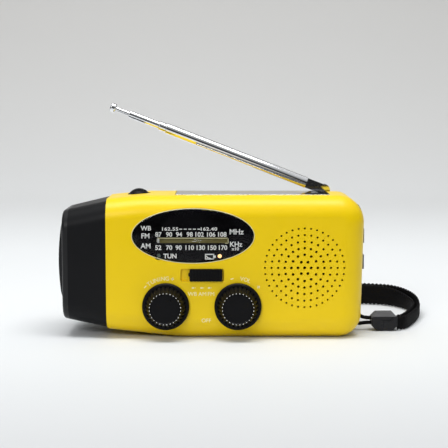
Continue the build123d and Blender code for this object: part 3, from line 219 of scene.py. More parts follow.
def webbing_mesh(name, route):
    """Woven tape on its edge: cross ribs, scalloped edges, and drawn in where it enters the clip."""
    step = 0.00025
    line = evenly(route, step)
    total = step * (len(line) - 1)
    across = 12
    verts, faces, path = [], [], []
    half = WEBBING_THICKNESS / 2 - RIB_HEIGHT
    for i, point in enumerate(line):
        before, after = line[max(i - 1, 0)], line[min(i + 1, len(line) - 1)]
        tangent = (after - before).normalized()
        side = Vector((tangent.y, -tangent.x, 0))
        s = i * step
        from_end = min(s, total - s)
        draw = (from_end - GATHERED_SPAN[0]) / (GATHERED_SPAN[1] - GATHERED_SPAN[0])
        draw = min(1.0, max(0.0, draw))
        draw = draw * draw * (3 - 2 * draw)
        width = GATHERED_WIDTH + (WEBBING_WIDTH - GATHERED_WIDTH) * draw
        scallop = PICOT_HEIGHT * (1 - abs(math.cos(math.pi * s / PICOT_PITCH)))
        low = FLOOR_GAP + scallop
        high = FLOOR_GAP + width - scallop
        rib = RIB_HEIGHT * math.cos(2 * math.pi * s / RIB_PITCH)
        path.append(Vector((point.x, point.y, FLOOR_GAP + width / 2)))
        ring = []
        for face in (1, -1):
            for k in range(across + 1):
                share = k / across if face == 1 else 1 - k / across
                edge = min(share, 1 - share) * 2
                swell = min(1.0, EDGE_THICKNESS + EDGE_SWELL * edge)
                weave = rib * (1 if k % 2 else -1) * (1 if edge > SELVAGE else SELVAGE_RIB)
                offset = face * (half * swell + weave)
                spot = Vector((point.x, point.y, low + (high - low) * share))
                ring.append(spot + side * offset)
        base = len(verts)
        verts += ring
        size = len(ring)
        if i:
            for k in range(size):
                a, b = base + k, base + (k + 1) % size
                faces.append((a - size, b - size, b, a))
    size = 2 * (across + 1)
    faces.append(tuple(reversed(range(size))))
    faces.append(tuple(range(len(verts) - size, len(verts))))
    return mesh_from(name, verts, faces), path


webbing_line = read_route(nurbs_route("webbing_route", [(x, y, 0) for x, y in WEBBING_ROUTE]))
webbing, webbing_path = webbing_mesh("wrist_strap_webbing", webbing_line)

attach(cord_piece, "case")
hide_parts("strap_cord")
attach(webbing, "case")
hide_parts("wrist_strap")

# ---------------------------------------------------------------- material helpers


class Paint:
    """A new material and short ways to add nodes to it."""

    def __init__(self, name):
        self.material = bpy.data.materials.new(name)
        self.material.use_nodes = True
        self.tree = self.material.node_tree
        self.shader = self.tree.nodes["Principled BSDF"]
        self.output = self.tree.nodes["Material Output"]
        self.place = self.add("TexCoord").outputs["Object"]

    def add(self, kind, **settings):
        node = self.tree.nodes.new("ShaderNode" + kind)
        for key, value in settings.items():
            setattr(node, key, value)
        return node

    def join(self, source, target):
        self.tree.links.new(source, target)

    def noise(self, scale, detail=3.0, rough=0.55, stretch=None):
        """Noise in object space; scale is features per metre."""
        node = self.add("TexNoise")
        node.inputs["Scale"].default_value = scale
        node.inputs["Detail"].default_value = detail
        node.inputs["Roughness"].default_value = rough
        source = self.place
        if stretch:
            mapping = self.add("Mapping")
            mapping.inputs["Scale"].default_value = stretch
            self.join(source, mapping.inputs["Vector"])
            source = mapping.outputs["Vector"]
        self.join(source, node.inputs["Vector"])
        return node.outputs["Fac"]

    def ranged(self, value, low, high, start=0.3, end=0.7):
        node = self.add("MapRange")
        self.join(value, node.inputs["Value"])
        node.inputs["From Min"].default_value = start
        node.inputs["From Max"].default_value = end
        node.inputs["To Min"].default_value = low
        node.inputs["To Max"].default_value = high
        return node.outputs["Result"]

    def blend(self, factor, a, b):
        """A colour mix; a and b are colours or sockets."""
        node = self.add("Mix", data_type="RGBA")
        self.join(factor, node.inputs[0])
        for socket, value in ((node.inputs[6], a), (node.inputs[7], b)):
            if isinstance(value, tuple):
                socket.default_value = (*value, 1.0)
            else:
                self.join(value, socket)
        return node.outputs[2]

    def bump(self, height, strength, distance, below=None):
        node = self.add("Bump")
        node.inputs["Strength"].default_value = strength
        node.inputs["Distance"].default_value = distance
        self.join(height, node.inputs["Height"])
        if below:
            self.join(below, node.inputs["Normal"])
        return node.outputs["Normal"]

    def set(self, **values):
        for key, value in values.items():
            self.shader.inputs[key.replace("_", " ")].default_value = value


def shade(colour, factor):
    """The colour made lighter or darker."""
    return tuple(min(1.0, c * factor) for c in colour)


def plastic(name, colour, rough=0.4, grain=2600.0, relief=0.25, vary=0.06, spread=0.06, shine=0.5):
    """Moulded plastic: fine texture, slight unevenness of gloss and colour, and faint handling marks."""
    p = Paint(name)
    cloud = p.noise(45.0, 4.0)
    p.join(p.blend(cloud, shade(colour, 1 - vary), shade(colour, 1 + vary)), p.shader.inputs["Base Color"])
    smear = p.noise(160.0, 6.0, 0.7, stretch=(1.0, 1.0, 0.45))
    p.join(p.ranged(smear, rough - spread, rough + spread), p.shader.inputs["Roughness"])
    fine = p.noise(grain, 2.0, 0.5)
    flow = p.noise(90.0, 1.0)
    under = p.bump(flow, 0.06, 0.0004)
    p.join(p.bump(fine, relief, 0.00003, under), p.shader.inputs["Normal"])
    p.set(IOR=1.5, Specular_IOR_Level=shine)
    return p.material


def metal(name, colour, rough=0.25, stretch=(1.0, 1.0, 1.0), relief=0.1, scale=3000.0):
    """Metal with fine lines along its length and slight tarnish."""
    p = Paint(name)
    cloud = p.noise(120.0, 5.0)
    p.join(p.blend(cloud, shade(colour, 0.9), colour), p.shader.inputs["Base Color"])
    lines = p.noise(scale, 2.0, 0.6, stretch=stretch)
    p.join(p.ranged(lines, rough * 0.8, rough * 1.25), p.shader.inputs["Roughness"])
    p.join(p.bump(lines, relief, 0.00001), p.shader.inputs["Normal"])
    p.set(Metallic=1.0)
    return p.material


CLEAR_TINT = (0.96, 0.97, 0.97, 1.0)


def clear_plastic(name, ior):
    """A thin clear moulding: see-through, with a sharp reflection that grows at a glancing angle."""
    p = Paint(name)
    p.tree.nodes.remove(p.shader)
    clear = p.add("BsdfTransparent")
    clear.inputs["Color"].default_value = CLEAR_TINT
    gloss = p.add("BsdfGlossy")
    gloss.inputs["Color"].default_value = (1.0, 1.0, 1.0, 1.0)
    smear = p.noise(220.0, 5.0, 0.7)
    p.join(p.ranged(smear, 0.02, 0.07), gloss.inputs["Roughness"])
    fresnel = p.add("Fresnel")
    fresnel.inputs["IOR"].default_value = ior
    mix = p.add("MixShader")
    p.join(fresnel.outputs["Fac"], mix.inputs[0])
    p.join(clear.outputs[0], mix.inputs[1])
    p.join(gloss.outputs[0], mix.inputs[2])
    p.join(mix.outputs[0], p.output.inputs["Surface"])
    return p.material


def dress(material, *names):
    """Give CAD nodes or new pieces this material, on the object's own slots."""
    for name in names:
        piece = nodes.get(name) or bpy.data.objects[name]
        if not piece.material_slots:
            piece.data.materials.append(material)
        for slot in piece.material_slots:
            slot.link = "OBJECT"
            slot.material = material


# ---------------------------------------------------------------- materials

YELLOW = (0.86, 0.60, 0.001)
HEAD_BLACK = (0.0055, 0.0057, 0.0066)
BEZEL_BLACK = (0.009, 0.009, 0.010)
KNOB_BLACK = (0.0030, 0.0030, 0.0038)
CRANK_BLACK = (0.010, 0.010, 0.012)
DIAL_BLACK = (0.0022, 0.0016, 0.0030)
CLIP_BLACK = (0.009, 0.009, 0.011)
POINTER_WHITE = (0.86, 0.85, 0.80)
WEBBING_BLACK = (0.0022, 0.0019, 0.0026)
CORD_BLACK = (0.0038, 0.0036, 0.0042)

yellow = plastic("yellow_abs", YELLOW, rough=0.34, grain=3200.0, relief=0.16, vary=0.03, shine=0.3)
black_head = plastic("black_abs", HEAD_BLACK, rough=0.42, grain=2600.0, relief=0.35, vary=0.15, shine=0.13)
black_bezel = plastic("black_bezel", BEZEL_BLACK, rough=0.34, grain=2600.0, relief=0.2, vary=0.15, shine=0.3)
black_knob = plastic("black_knob", KNOB_BLACK, rough=0.46, grain=4200.0, relief=0.3, vary=0.15, shine=0.12)
black_crank = plastic("black_crank", CRANK_BLACK, rough=0.38, grain=3000.0, relief=0.3, vary=0.15, shine=0.3)
dial_black = plastic("dial_black", DIAL_BLACK, rough=0.35, grain=900.0, relief=0.03, vary=0.2, shine=0.1)
clip_black = plastic("clip_black", CLIP_BLACK, rough=0.30, grain=3600.0, relief=0.3, vary=0.12, shine=0.25)
rubber = plastic("grey_rubber", (0.050, 0.050, 0.052), rough=0.62, grain=2400.0, relief=0.5, vary=0.1)
nylon = plastic("white_nylon", (0.70, 0.69, 0.64), rough=0.45, grain=1500.0, relief=0.1)
pointer_white = plastic("pointer_white", POINTER_WHITE, rough=0.35, grain=1500.0, relief=0.05, vary=0.02)
rail_olive = plastic("rail_olive", (0.30, 0.24, 0.055), rough=0.55, grain=1800.0, relief=0.15)
print_white = plastic("print_white", (0.95, 0.95, 0.93), rough=0.5, grain=5000.0, relief=0.1, vary=0.05)
print_cream = plastic("print_cream", (0.96, 0.88, 0.50), rough=0.5, grain=5000.0, relief=0.1, vary=0.05)
cone_paper = plastic("cone_paper", (0.02, 0.02, 0.02), rough=0.8, grain=1200.0, relief=0.5, vary=0.2)
ferrite = plastic("ferrite", (0.045, 0.045, 0.045), rough=0.6, grain=2500.0, relief=0.3)
chrome = metal("chrome", (0.86, 0.87, 0.88), rough=0.07, stretch=(0.06, 1.0, 1.0), relief=0.03)
mirror_metal = metal("reflector_metal", (0.88, 0.88, 0.88), rough=0.08, relief=0.04)
steel = metal("steel", (0.56, 0.56, 0.57), rough=0.28, stretch=(1.0, 0.08, 1.0), relief=0.2)
clear = clear_plastic("clear_plastic", 1.46)
clear_dial = clear_plastic("clear_dial", 1.22)
clear_solar = clear_plastic("clear_solar", 2.2)
# painted highlight: the pale cream of the ring round the dial window stands in for light caught on the
# window's edge
pale_rim_highlight = plastic("pale_rim_highlight", (0.98, 0.90, 0.50), rough=0.25, grain=5000.0, relief=0.05, vary=0.03)


def board_material():
    """Green solder mask with a pattern of tracks under it."""
    p = Paint("circuit_board")
    cells = p.add("TexVoronoi", feature="DISTANCE_TO_EDGE", distance="CHEBYCHEV")
    cells.inputs["Scale"].default_value = 420.0
    p.join(p.place, cells.inputs["Vector"])
    track = p.ranged(cells.outputs["Distance"], 1.0, 0.0, 0.04, 0.09)
    p.join(p.blend(track, (0.012, 0.075, 0.028), (0.03, 0.16, 0.06)), p.shader.inputs["Base Color"])
    p.join(p.bump(track, 0.4, 0.00004), p.shader.inputs["Normal"])
    p.join(p.ranged(p.noise(300.0), 0.25, 0.4), p.shader.inputs["Roughness"])
    return p.material


def winding_material():
    """Enamelled copper wire, wound round the ferrite rod."""
    p = Paint("copper_winding")
    wave = p.add("TexWave", wave_type="BANDS", bands_direction="X")
    wave.inputs["Scale"].default_value = 900.0
    wave.inputs["Distortion"].default_value = 0.4
    p.join(p.place, wave.inputs["Vector"])
    copper = p.blend(wave.outputs["Fac"], (0.25, 0.08, 0.03), (0.75, 0.33, 0.13))
    p.join(copper, p.shader.inputs["Base Color"])
    p.join(p.bump(wave.outputs["Fac"], 0.5, 0.0001), p.shader.inputs["Normal"])
    p.set(Metallic=1.0, Roughness=0.3)
    return p.material


def sleeve_material():
    """Shrink-wrapped cells: glossy sleeve with soft wrinkles."""
    p = Paint("battery_sleeve")
    folds = p.noise(500.0, 3.0, 0.6, stretch=(0.3, 1.0, 1.0))
    p.join(p.blend(folds, (0.02, 0.12, 0.22), (0.05, 0.22, 0.36)), p.shader.inputs["Base Color"])
    p.join(p.bump(folds, 0.4, 0.0001), p.shader.inputs["Normal"])
    p.join(p.ranged(folds, 0.18, 0.3), p.shader.inputs["Roughness"])
    return p.material


def cloth_material():
    """Open black speaker cloth."""
    p = Paint("speaker_cloth")
    holes = p.add("TexVoronoi", feature="F1")
    holes.inputs["Scale"].default_value = 2200.0
    p.join(p.place, holes.inputs["Vector"])
    threads = p.blend(holes.outputs["Distance"], (0.004, 0.004, 0.004), (0.022, 0.021, 0.022))
    p.join(threads, p.shader.inputs["Base Color"])
    p.join(p.bump(holes.outputs["Distance"], 0.8, 0.0001), p.shader.inputs["Normal"])
    p.set(Roughness=0.9, Sheen_Weight=0.1)
    return p.material


def woven_material(name, colour, thread=2200.0):
    """Woven polyester: paler fuzz and uneven dye, with painted shade and painted sheen in bands along the
    threads.
    """
    p = Paint(name)
    weft = p.add("TexWave", wave_type="BANDS", bands_direction="Z")
    weft.inputs["Scale"].default_value = thread / 6.28
    weft.inputs["Distortion"].default_value = 1.2
    weft.inputs["Detail"].default_value = 2.0
    weft.inputs["Detail Scale"].default_value = 3.0
    p.join(p.place, weft.inputs["Vector"])
    fuzz = p.noise(5200.0, 3.0, 0.7)
    lint = p.ranged(fuzz, 0.0, 1.0, 0.52, 0.75)
    lint_and_sheen = p.blend(lint, shade(colour, 0.8), shade(colour, 2.6))
    # painted shade and sheen: the weave's bands drop to 0.55 of the colour between threads and rise to the
    # paler fuzz on them
    p.join(p.blend(weft.outputs["Fac"], shade(colour, 0.55), lint_and_sheen), p.shader.inputs["Base Color"])
    low = p.bump(weft.outputs["Fac"], 0.6, 0.00012)
    p.join(p.bump(fuzz, 0.5, 0.00008, low), p.shader.inputs["Normal"])
    p.join(p.ranged(fuzz, 0.45, 0.75), p.shader.inputs["Roughness"])
    p.set(Sheen_Weight=0.01, Sheen_Roughness=0.4, Specular_IOR_Level=0.12)
    return p.material


SOLAR_START = (-0.0160, -0.0074)  # X of the first cell's edge, and Y of the first busbar
CELL_PITCH, CELL_GAP = 0.0166, 0.0009
FINGER_PITCH, FINGER_WIDTH = 0.0016, 0.00016
BUSBAR_PITCH, BUSBAR_WIDTH = 0.0116, 0.0010


def solar_material():
    """Silicon cells in a row along X, with fine fingers across them and busbars along them."""
    p = Paint("solar_cells")
    split = p.add("SeparateXYZ")
    p.join(p.place, split.inputs["Vector"])

    def comb(socket, pitch, line, start):
        """1 on lines a pitch apart, and 0 between them."""
        shift = p.add("Math", operation="SUBTRACT")
        p.join(socket, shift.inputs[0])
        shift.inputs[1].default_value = start
        wrap = p.add("Math", operation="PINGPONG")
        p.join(shift.outputs[0], wrap.inputs[0])
        wrap.inputs[1].default_value = pitch / 2
        edge = p.add("Math", operation="LESS_THAN")
        p.join(wrap.outputs[0], edge.inputs[0])
        edge.inputs[1].default_value = line / 2
        return edge.outputs[0]

    fingers = comb(split.outputs["X"], FINGER_PITCH, FINGER_WIDTH, SOLAR_START[0])
    busbars = comb(split.outputs["Y"], BUSBAR_PITCH, BUSBAR_WIDTH, SOLAR_START[1])
    gaps = comb(split.outputs["X"], CELL_PITCH, CELL_GAP, SOLAR_START[0])
    crystal = p.add("TexVoronoi", feature="F1")
    crystal.inputs["Scale"].default_value = 260.0
    p.join(p.place, crystal.inputs["Vector"])
    cell = p.blend(crystal.outputs["Color"], (0.006, 0.012, 0.035), (0.016, 0.028, 0.075))
    silver = p.blend(fingers, cell, (0.38, 0.38, 0.37))
    silver = p.blend(busbars, silver, (0.62, 0.62, 0.60))
    p.join(p.blend(gaps, silver, (0.10, 0.09, 0.06)), p.shader.inputs["Base Color"])
    p.join(p.ranged(p.noise(400.0), 0.25, 0.4), p.shader.inputs["Roughness"])
    p.join(p.bump(busbars, 0.5, 0.00005), p.shader.inputs["Normal"])
    return p.material


BETWEEN_LAMPS = -0.01  # an X between the two lamps


def lamp_material():
    """The two dial lamps: the tuning lamp is green and off, the charging lamp glows amber."""
    p = Paint("dial_lamps")
    split = p.add("SeparateXYZ")
    p.join(p.place, split.inputs["Vector"])
    side = p.add("Math", operation="GREATER_THAN")
    p.join(split.outputs["X"], side.inputs[0])
    side.inputs[1].default_value = BETWEEN_LAMPS
    tint = p.blend(side.outputs[0], (0.10, 0.16, 0.12), (0.95, 0.72, 0.42))
    p.join(tint, p.shader.inputs["Base Color"])
    glow = p.blend(side.outputs[0], (0.0, 0.0, 0.0), (1.0, 0.62, 0.26))
    p.join(glow, p.shader.inputs["Emission Color"])
    p.join(p.bump(p.noise(900.0), 0.1, 0.00005), p.shader.inputs["Normal"])
    p.set(Emission_Strength=1.2, Roughness=0.2)
    return p.material


LED_DEPTHS = (-0.0590, -0.0550)  # X, from the LEDs' domes to their bases


def led_material():
    """White high-power LEDs: clear epoxy with the yellow phosphor chip low inside."""
    p = Paint("flashlight_leds")
    split = p.add("SeparateXYZ")
    p.join(p.place, split.inputs["Vector"])
    deep = p.ranged(split.outputs["X"], 0.0, 1.0, *LED_DEPTHS)
    p.join(p.blend(deep, (0.86, 0.87, 0.84), (0.80, 0.72, 0.22)), p.shader.inputs["Base Color"])
    p.join(p.bump(p.noise(700.0), 0.08, 0.00005), p.shader.inputs["Normal"])
    p.set(Roughness=0.08, Coat_Weight=0.6, Coat_Roughness=0.03)
    return p.material


board = board_material()
webbing_black = woven_material("webbing_weave", WEBBING_BLACK)
cord_black = woven_material("cord_braid", CORD_BLACK, thread=4000.0)

dress(yellow, "front_shell", "rear_shell", "battery_cover")
dress(black_head, "head_housing")
dress(black_bezel, "head_bezel")
dress(black_knob, "tuning_knob", "volume_knob", "band_switch_cap", "flashlight_button")
dress(black_crank, "crank_arm", "crank_grip", "band_switch_body")
dress(dial_black, "dial_plate")
dress(clip_black, "strap_clip")
dress(rubber, "port_cover")
dress(nylon, "dial_drum", "crank_gear", "compound_gear", "rotor_pinion", "tuning_capacitor")
dress(nylon, "volume_pot", "flashlight_switch")
dress(pointer_white, "dial_pointer")
dress(rail_olive, "pointer_rail")
dress(cone_paper, "speaker_cone")
dress(ferrite, "ferrite_rod", "speaker_magnet", "rotor_magnet")
dress(chrome, "antenna_tube", "antenna_section_2", "antenna_section_3", "antenna_rod")
dress(chrome, "antenna_swivel", "antenna_pivot_pin")
dress(mirror_metal, "reflector")
dress(steel, "case_screws", "crank_screw", "crank_grip_axle", "port_cover_pin", "speaker_frame")
dress(steel, "usb_port", "charge_port", "stator", "gearbox_front_plate", "gearbox_back_plate")
dress(clear, "flashlight_lens")
dress(clear_solar, "solar_cover")
dress(board, "main_board", "led_board", "port_board")
dress(winding_material(), "ferrite_coil")
dress(sleeve_material(), "battery_pack")
dress(cloth_material(), "grille_cloth")
dress(cord_black, "dial_cord")
dress(solar_material(), "solar_cell")
dress(lamp_material(), "dial_lamps")
dress(led_material(), "flashlight_leds")
for piece, material in ((webbing, webbing_black), (cord_piece, cord_black)):
    piece.data.materials.append(material)

# ---------------------------------------------------------------- printing

PRINT_DEPTH = 0.03 * MM
DIAL_FACE = -21.5 * MM
PANEL_FACE = -22.5 * MM
TUNING_AXIS = (-19.7, 14.3)
VOLUME_AXIS = (10.9, 14.3)


class Print:
    """Printed marks on a face that looks towards -Y. Positions and sizes are in millimetres."""

    def __init__(self, face_y):
        self.face_y = face_y
        self.bm = bmesh.new()

    def take(self, mesh, spin, x, z):
        """Add a mesh drawn flat in x and y, turned by spin degrees and put at (x, z)."""
        turn = Matrix.Rotation(math.radians(spin), 4, "Z")
        stand = Matrix.Rotation(math.radians(90), 4, "X")
        place = Matrix.Translation((x * MM, self.face_y, z * MM))
        mesh.transform(place @ stand @ turn)
        self.bm.from_mesh(mesh)
        bpy.data.meshes.remove(mesh)

    def text(self, words, x, z, height, spin=0.0, weight=0.0, stretch=1.0, spacing=1.0):
        """Lettering centred on (x, z)."""
        font = bpy.data.curves.new("letters", "FONT")
        font.body = words
        font.extrude = 0.5
        font.offset = weight
        font.space_character = spacing
        font.resolution_u = 4
        carrier = bpy.data.objects.new("letters", font)
        mesh = bpy.data.meshes.new_from_object(carrier)
        bpy.data.objects.remove(carrier)
        xs = [v.co.x for v in mesh.vertices]
        ys = [v.co.y for v in mesh.vertices]
        scale = height * MM / (max(ys) - min(ys))
        centre = Matrix.Translation((-(max(xs) + min(xs)) / 2, -(max(ys) + min(ys)) / 2, 0))
        size = Matrix.Diagonal((scale * stretch, scale, PRINT_DEPTH, 1))
        mesh.transform(size @ centre)
        self.take(mesh, spin, x, z)

    def bar(self, x, z, width, height, spin=0.0):
        """A filled rectangle with slightly rounded corners."""
        w, h = width * MM / 2, height * MM / 2
        r = min(w, h) * 0.4
        outline = []
        for sx, sy, start in ((1, 1, 0), (-1, 1, 90), (-1, -1, 180), (1, -1, 270)):
            for k in range(4):
                a = math.radians(start + 30 * k)
                outline.append((sx * (w - r) + r * math.cos(a), sy * (h - r) + r * math.sin(a)))
        self.slab(outline, spin, x, z)

    def slab(self, outline, spin, x, z):
        """A closed outline in metres, made PRINT_DEPTH thick."""
        n, t = len(outline), PRINT_DEPTH / 2
        verts = [(a, b, t) for a, b in outline] + [(a, b, -t) for a, b in outline]
        faces = [tuple(range(n)), tuple(reversed(range(n, 2 * n)))]
        faces += [(k + n, (k + 1) % n + n, (k + 1) % n, k) for k in range(n)]
        mesh = bpy.data.meshes.new("slab")
        mesh.from_pydata(verts, [], faces)
        self.take(mesh, spin, x, z)

    def around(self, axis, radius, angle, words, height, **more):
        """One letter or word on a circle about a knob, upright along the circle."""
        a = math.radians(angle)
        x, z = axis[0] + radius * math.cos(a), axis[1] + radius * math.sin(a)
        self.text(words, x, z, height, spin=angle - 90, **more)

    def finish(self, name, material, body="case"):
        mesh = bpy.data.meshes.new(name)
        self.bm.to_mesh(mesh)
        self.bm.free()
        mesh.materials.append(material)
        piece = link(name, mesh)
        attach(piece, body)
        return piece


dial = Print(DIAL_FACE)
LABEL = dict(weight=0.025)
for words, x, z, height in (("WB", -28.0, 47.5, 2.0), ("FM", -28.2, 44.25, 2.2), ("AM", -28.2, 40.0, 2.2)):
    dial.text(words, x, z, height, **LABEL)
for words, x in (("162.55", -17.75), ("162.40", -1.35)):
    dial.text(words, x, 47.2, 1.5, weight=0.03, stretch=1.25, spacing=1.12)
for k in range(5):
    dial.bar(-13.3 + 1.93 * k, 47.1, 1.25, 0.42)
FM_MARKS = {"87": -22.7, "90": -18.2, "94": -14.0, "98": -9.5, "102": -5.3, "106": -0.4, "108": 4.3}
AM_MARKS = {"52": -22.8, "70": -18.2, "90": -14.2, "110": -9.5, "130": -4.8, "150": 0.0, "170": 4.6}
for marks, z in ((FM_MARKS, 44.85), (AM_MARKS, 39.25)):
    for words, x in marks.items():
        dial.text(words, x, z, 2.05, weight=0.025, stretch=1.0)
dial.text("MHz", 10.35, 46.0, 2.3, **LABEL)
dial.text("KHz", 10.15, 40.7, 2.15, **LABEL)
dial.text("x10", 9.75, 38.75, 1.4, weight=0.03, stretch=1.1)
dial.text("TUN", -17.9, 35.65, 2.05, weight=0.03)
# battery sign: an outline with its terminal and a small charge mark
BATTERY = (-1.1, 35.4)
for dz in (-1.0, 1.0):
    dial.bar(BATTERY[0], BATTERY[1] + dz, 3.9, 0.45)
for dx in (-1.75, 1.75):
    dial.bar(BATTERY[0] + dx, BATTERY[1], 0.45, 2.4)
dial.bar(BATTERY[0] + 2.3, BATTERY[1], 0.6, 1.1)
dial.bar(BATTERY[0] - 1.1, BATTERY[1] - 0.1, 0.4, 1.2, spin=25)
dial.bar(BATTERY[0] - 0.3, BATTERY[1] - 0.5, 1.5, 0.3, spin=-18)
dial_print = dial.finish("dial_print", print_white)

# painted highlight: cream bars along the lit edge of the pointer's slot
slot_painted_highlight = Print(DIAL_FACE)
slot_painted_highlight.bar(-8.3, 43.3, 29.6, 0.26)
slot_painted_highlight.bar(6.75, 42.2, 0.26, 1.9)
slot_painted_highlight.bar(6.1, 41.15, 1.2, 0.24)
slot_painted_highlight_print = slot_painted_highlight.finish("slot_painted_highlight", print_cream)

panel = Print(PANEL_FACE)
for words, angle in zip("TUNING", (126.5, 118.0, 109.5, 102.5, 95.5, 87.0)):
    panel.around(TUNING_AXIS, 11.9, angle, words, 1.7)
for words, angle in zip("VOL", (82.0, 73.5, 66.0)):
    panel.around(VOLUME_AXIS, 11.9, angle, words, 1.7)
for axis, minus, plus in ((TUNING_AXIS, 136.0, 76.0), (VOLUME_AXIS, 102.0, 43.5)):
    for angle, sign in ((minus, "-"), (plus, "+")):
        a = math.radians(angle)
        x, z = axis[0] + 12.0 * math.cos(a), axis[1] + 12.0 * math.sin(a)
        panel.bar(x, z, 1.3, 0.38, spin=angle - 90)
        if sign == "+":
            panel.bar(x, z, 0.38, 1.3, spin=angle - 90)
for x, words in ((-8.4, "WB"), (-4.2, "AM"), (-0.5, "FM")):
    panel.text(words, x, 19.6, 1.65)
for x in (-8.1, -4.5, -1.3):
    panel.bar(x, 22.2, 1.0, 0.62)
    panel.bar(x + 0.9, 22.2, 0.3, 0.3)
panel.text("OFF", -2.5, 8.2, 1.65)
panel_print = panel.finish("panel_print", print_cream)

# painted highlights: bright marks round the rim of each knob's face, one between each pair of flutes,
# standing in for the glints on the flute tips; millimetres
KNOB_FACE = -30.1 * MM
KNOB_PAINTED_GLINTS = 28
PAINTED_GLINT_RADIUS = 6.6
PAINTED_GLINT_SIZE = (0.42, 0.24)
for body, axis in (("tuning", TUNING_AXIS), ("volume", VOLUME_AXIS)):
    painted_glints = Print(KNOB_FACE)
    for k in range(KNOB_PAINTED_GLINTS):
        a = 2 * math.pi * (k + 0.5) / KNOB_PAINTED_GLINTS
        x, z = axis[0] + PAINTED_GLINT_RADIUS * math.cos(a), axis[1] + PAINTED_GLINT_RADIUS * math.sin(a)
        painted_glints.bar(x, z, *PAINTED_GLINT_SIZE, spin=math.degrees(a) - 90)
    painted_glints.finish(body + "_knob_painted_glints", print_white, body)

# ---------------------------------------------------------------- clear window, and a raised ring round it in pale cream as a painted highlight

WINDOW_CENTRE = (-8.1, 44.3)
WINDOW_HALF = (25.95, 11.65)
WINDOW_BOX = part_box("dial_window")
OVAL_POINTS = 160
LENS_EDGE = ((0.15, 0.45), (0.25, 0.20), (0.50, 0.06), (0.90, 0.0))  # inset and depth down the rounded edge
RIM_INSETS = (0.17, -0.08)
RIM_DEPTH = 0.3 * MM
RIM_FRONT = PANEL_FACE - 0.1 * MM


def oval_point(half, share, inset, y):
    """A point on the window's oval drawn in by inset, in metres."""
    a = 2 * math.pi * share
    x = WINDOW_CENTRE[0] + (half[0] - inset) * math.cos(a)
    z = WINDOW_CENTRE[1] + (half[1] - inset) * math.sin(a)
    return Vector((x * MM, y, z * MM))


def stack(name, rows, count, material):
    """A closed skin through rows of points, one row after another, with flat ends."""
    verts = [point for row in rows for point in row]
    faces = []
    for level in range(len(rows) - 1):
        for k in range(count):
            n = (k + 1) % count
            base = level * count
            faces.append((base + k, base + n, base + count + n, base + count + k))
    faces.append(tuple(reversed(range(count))))
    faces.append(tuple(range(len(verts) - count, len(verts))))
    piece = mesh_from(name, verts, faces)
    piece.data.materials.append(material)
    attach(piece, "case")
    return piece


def window_lens():
    """The clear oval: a very slightly domed face with a rounded edge."""
    front, back = WINDOW_BOX[0][1], WINDOW_BOX[1][1]
    levels = [(0.15, back)]
    for inset, sink in LENS_EDGE:
        levels.append((inset, front + sink * MM))
    rows = []
    for inset, y in levels:
        rows.append([oval_point(WINDOW_HALF, k / OVAL_POINTS, inset, y) for k in range(OVAL_POINTS)])
    return stack("dial_window_clear", rows, OVAL_POINTS, clear_dial)


def edge_ring(name, inner, outer, count, front, depth, material):
    """A thin raised ring between two closed lines of points given by functions of a share."""
    verts, faces = [], []
    for k in range(count):
        a, b = inner(k / count), outer(k / count)
        middle = (a + b) / 2
        verts += [
            Vector((a.x, front + depth, a.z)),
            Vector((a.x, front + depth * 0.3, a.z)),
            Vector((middle.x, front, middle.z)),
            Vector((b.x, front + depth * 0.3, b.z)),
            Vector((b.x, front + depth, b.z)),
        ]
    for k in range(count):
        n = (k + 1) % count
        for j in range(5):
            m = (j + 1) % 5
            faces.append((5 * k + j, 5 * n + j, 5 * n + m, 5 * k + m))
    piece = mesh_from(name, verts, faces)
    piece.data.materials.append(material)
    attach(piece, "case")
    return piece


lens = window_lens()
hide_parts("dial_window")
# a raised ring round the window's oval, its pale cream colour a painted highlight on the edge
window_rim = edge_ring(
    "dial_pale_rim_highlight",
    lambda share: oval_point(WINDOW_HALF, share, RIM_INSETS[0], 0),
    lambda share: oval_point(WINDOW_HALF, share, RIM_INSETS[1], 0),
    OVAL_POINTS,
    RIM_FRONT,
    RIM_DEPTH,
    pale_rim_highlight,
)

# ---------------------------------------------------------------- studio

# the paper's tone along its depth, in metres from the radio; it is darker towards the front and towards the
# backdrop as painted shade
PAPER_TONES_AND_SHADE = (
    (-0.45, (0.30, 0.30, 0.31)),
    (-0.20, (0.55, 0.56, 0.57)),
    (-0.08, (0.68, 0.70, 0.71)),
    (0.02, (0.76, 0.78, 0.79)),
    (0.30, (0.82, 0.84, 0.85)),
    (0.75, (0.80, 0.81, 0.81)),
    (1.10, (0.70, 0.69, 0.67)),
)


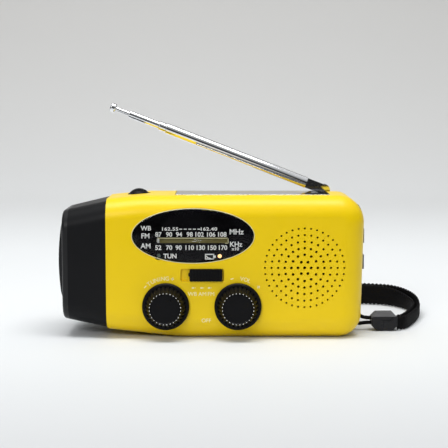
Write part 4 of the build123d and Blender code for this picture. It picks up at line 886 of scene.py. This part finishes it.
def sweep():
    """A seamless floor that curves up into a backdrop."""
    radius, wall, front, width, top = 0.45, 1.10, -0.45, 1.6, 2.2
    steps = 24
    profile = [(front, 0.0), (0.0, 0.0), (wall - radius, 0.0)]
    for k in range(1, steps + 1):
        a = math.radians(90 * k / steps)
        profile.append((wall - radius + radius * math.sin(a), radius - radius * math.cos(a)))
    profile.append((wall, top))
    verts = [(side * width, y, z) for y, z in profile for side in (-1, 1)]
    faces = [(2 * k, 2 * k + 1, 2 * k + 3, 2 * k + 2) for k in range(len(profile) - 1)]
    piece = mesh_from("sweep", verts, faces)
    p = Paint("sweep_paper")
    split = p.add("SeparateXYZ")
    p.join(p.place, split.inputs["Vector"])
    # painted shade: this ramp darkens the paper towards the front and towards the backdrop
    ramp = p.add("ValToRGB")
    depth = p.ranged(split.outputs["Y"], 0.0, 1.0, PAPER_TONES_AND_SHADE[0][0], PAPER_TONES_AND_SHADE[-1][0])
    p.join(depth, ramp.inputs["Fac"])
    stops = ramp.color_ramp.elements
    while len(stops) < len(PAPER_TONES_AND_SHADE):
        stops.new(0.5)
    for stop, (y, tone) in zip(stops, PAPER_TONES_AND_SHADE):
        stop.position = (y - PAPER_TONES_AND_SHADE[0][0]) / (PAPER_TONES_AND_SHADE[-1][0] - PAPER_TONES_AND_SHADE[0][0])
        stop.color = (*tone, 1.0)
    p.join(ramp.outputs["Color"], p.shader.inputs["Base Color"])
    p.join(p.bump(p.noise(900.0), 0.05, 0.0002), p.shader.inputs["Normal"])
    p.set(Roughness=0.75)
    piece.data.materials.append(p.material)
    return piece


sweep()


def softbox(name, place, target, size, power, colour=(1.0, 1.0, 1.0)):
    """A rectangular area light aimed at a point."""
    lamp = bpy.data.lights.new(name, "AREA")
    lamp.shape = "RECTANGLE"
    lamp.size, lamp.size_y = size
    lamp.energy = power
    lamp.color = colour
    piece = link(name, lamp)
    piece.location = place
    piece.rotation_euler = (Vector(target) - Vector(place)).to_track_quat("-Z", "Y").to_euler()
    return piece


softbox("key", (0.0, -0.12, 0.80), (0.01, 0.0, 0.02), (0.7, 0.35), 5.3)
softbox("front_fill", (-0.45, -1.05, 0.60), (0.01, 0.0, 0.03), (0.3, 0.3), 4.6)
softbox("backdrop_wash", (0.0, 0.45, 1.0), (0.0, 1.10, 0.45), (1.2, 0.3), 2.0)

# the sky is dark near the horizon, so upright faces keep deep tones, and brightens overhead
SKY_RISE = (0.15, 0.8)
SKY_STRENGTH = (0.02, 0.7)
world = bpy.data.worlds.new("studio")
bpy.context.scene.world = world
world.use_nodes = True
world_nodes = world.node_tree.nodes
background = world_nodes["Background"]
direction = world_nodes.new("ShaderNodeTexCoord")
split = world_nodes.new("ShaderNodeSeparateXYZ")
rise = world_nodes.new("ShaderNodeMapRange")
rise.inputs["From Min"].default_value = SKY_RISE[0]
rise.inputs["From Max"].default_value = SKY_RISE[1]
rise.inputs["To Min"].default_value = SKY_STRENGTH[0]
rise.inputs["To Max"].default_value = SKY_STRENGTH[1]
world.node_tree.links.new(direction.outputs["Generated"], split.inputs["Vector"])
world.node_tree.links.new(split.outputs["Z"], rise.inputs["Value"])
world.node_tree.links.new(rise.outputs["Result"], background.inputs["Strength"])
background.inputs["Color"].default_value = (0.97, 0.985, 1.0, 1.0)

bpy.context.scene.view_settings.view_transform = "Standard"

bpy.context.view_layer.update()
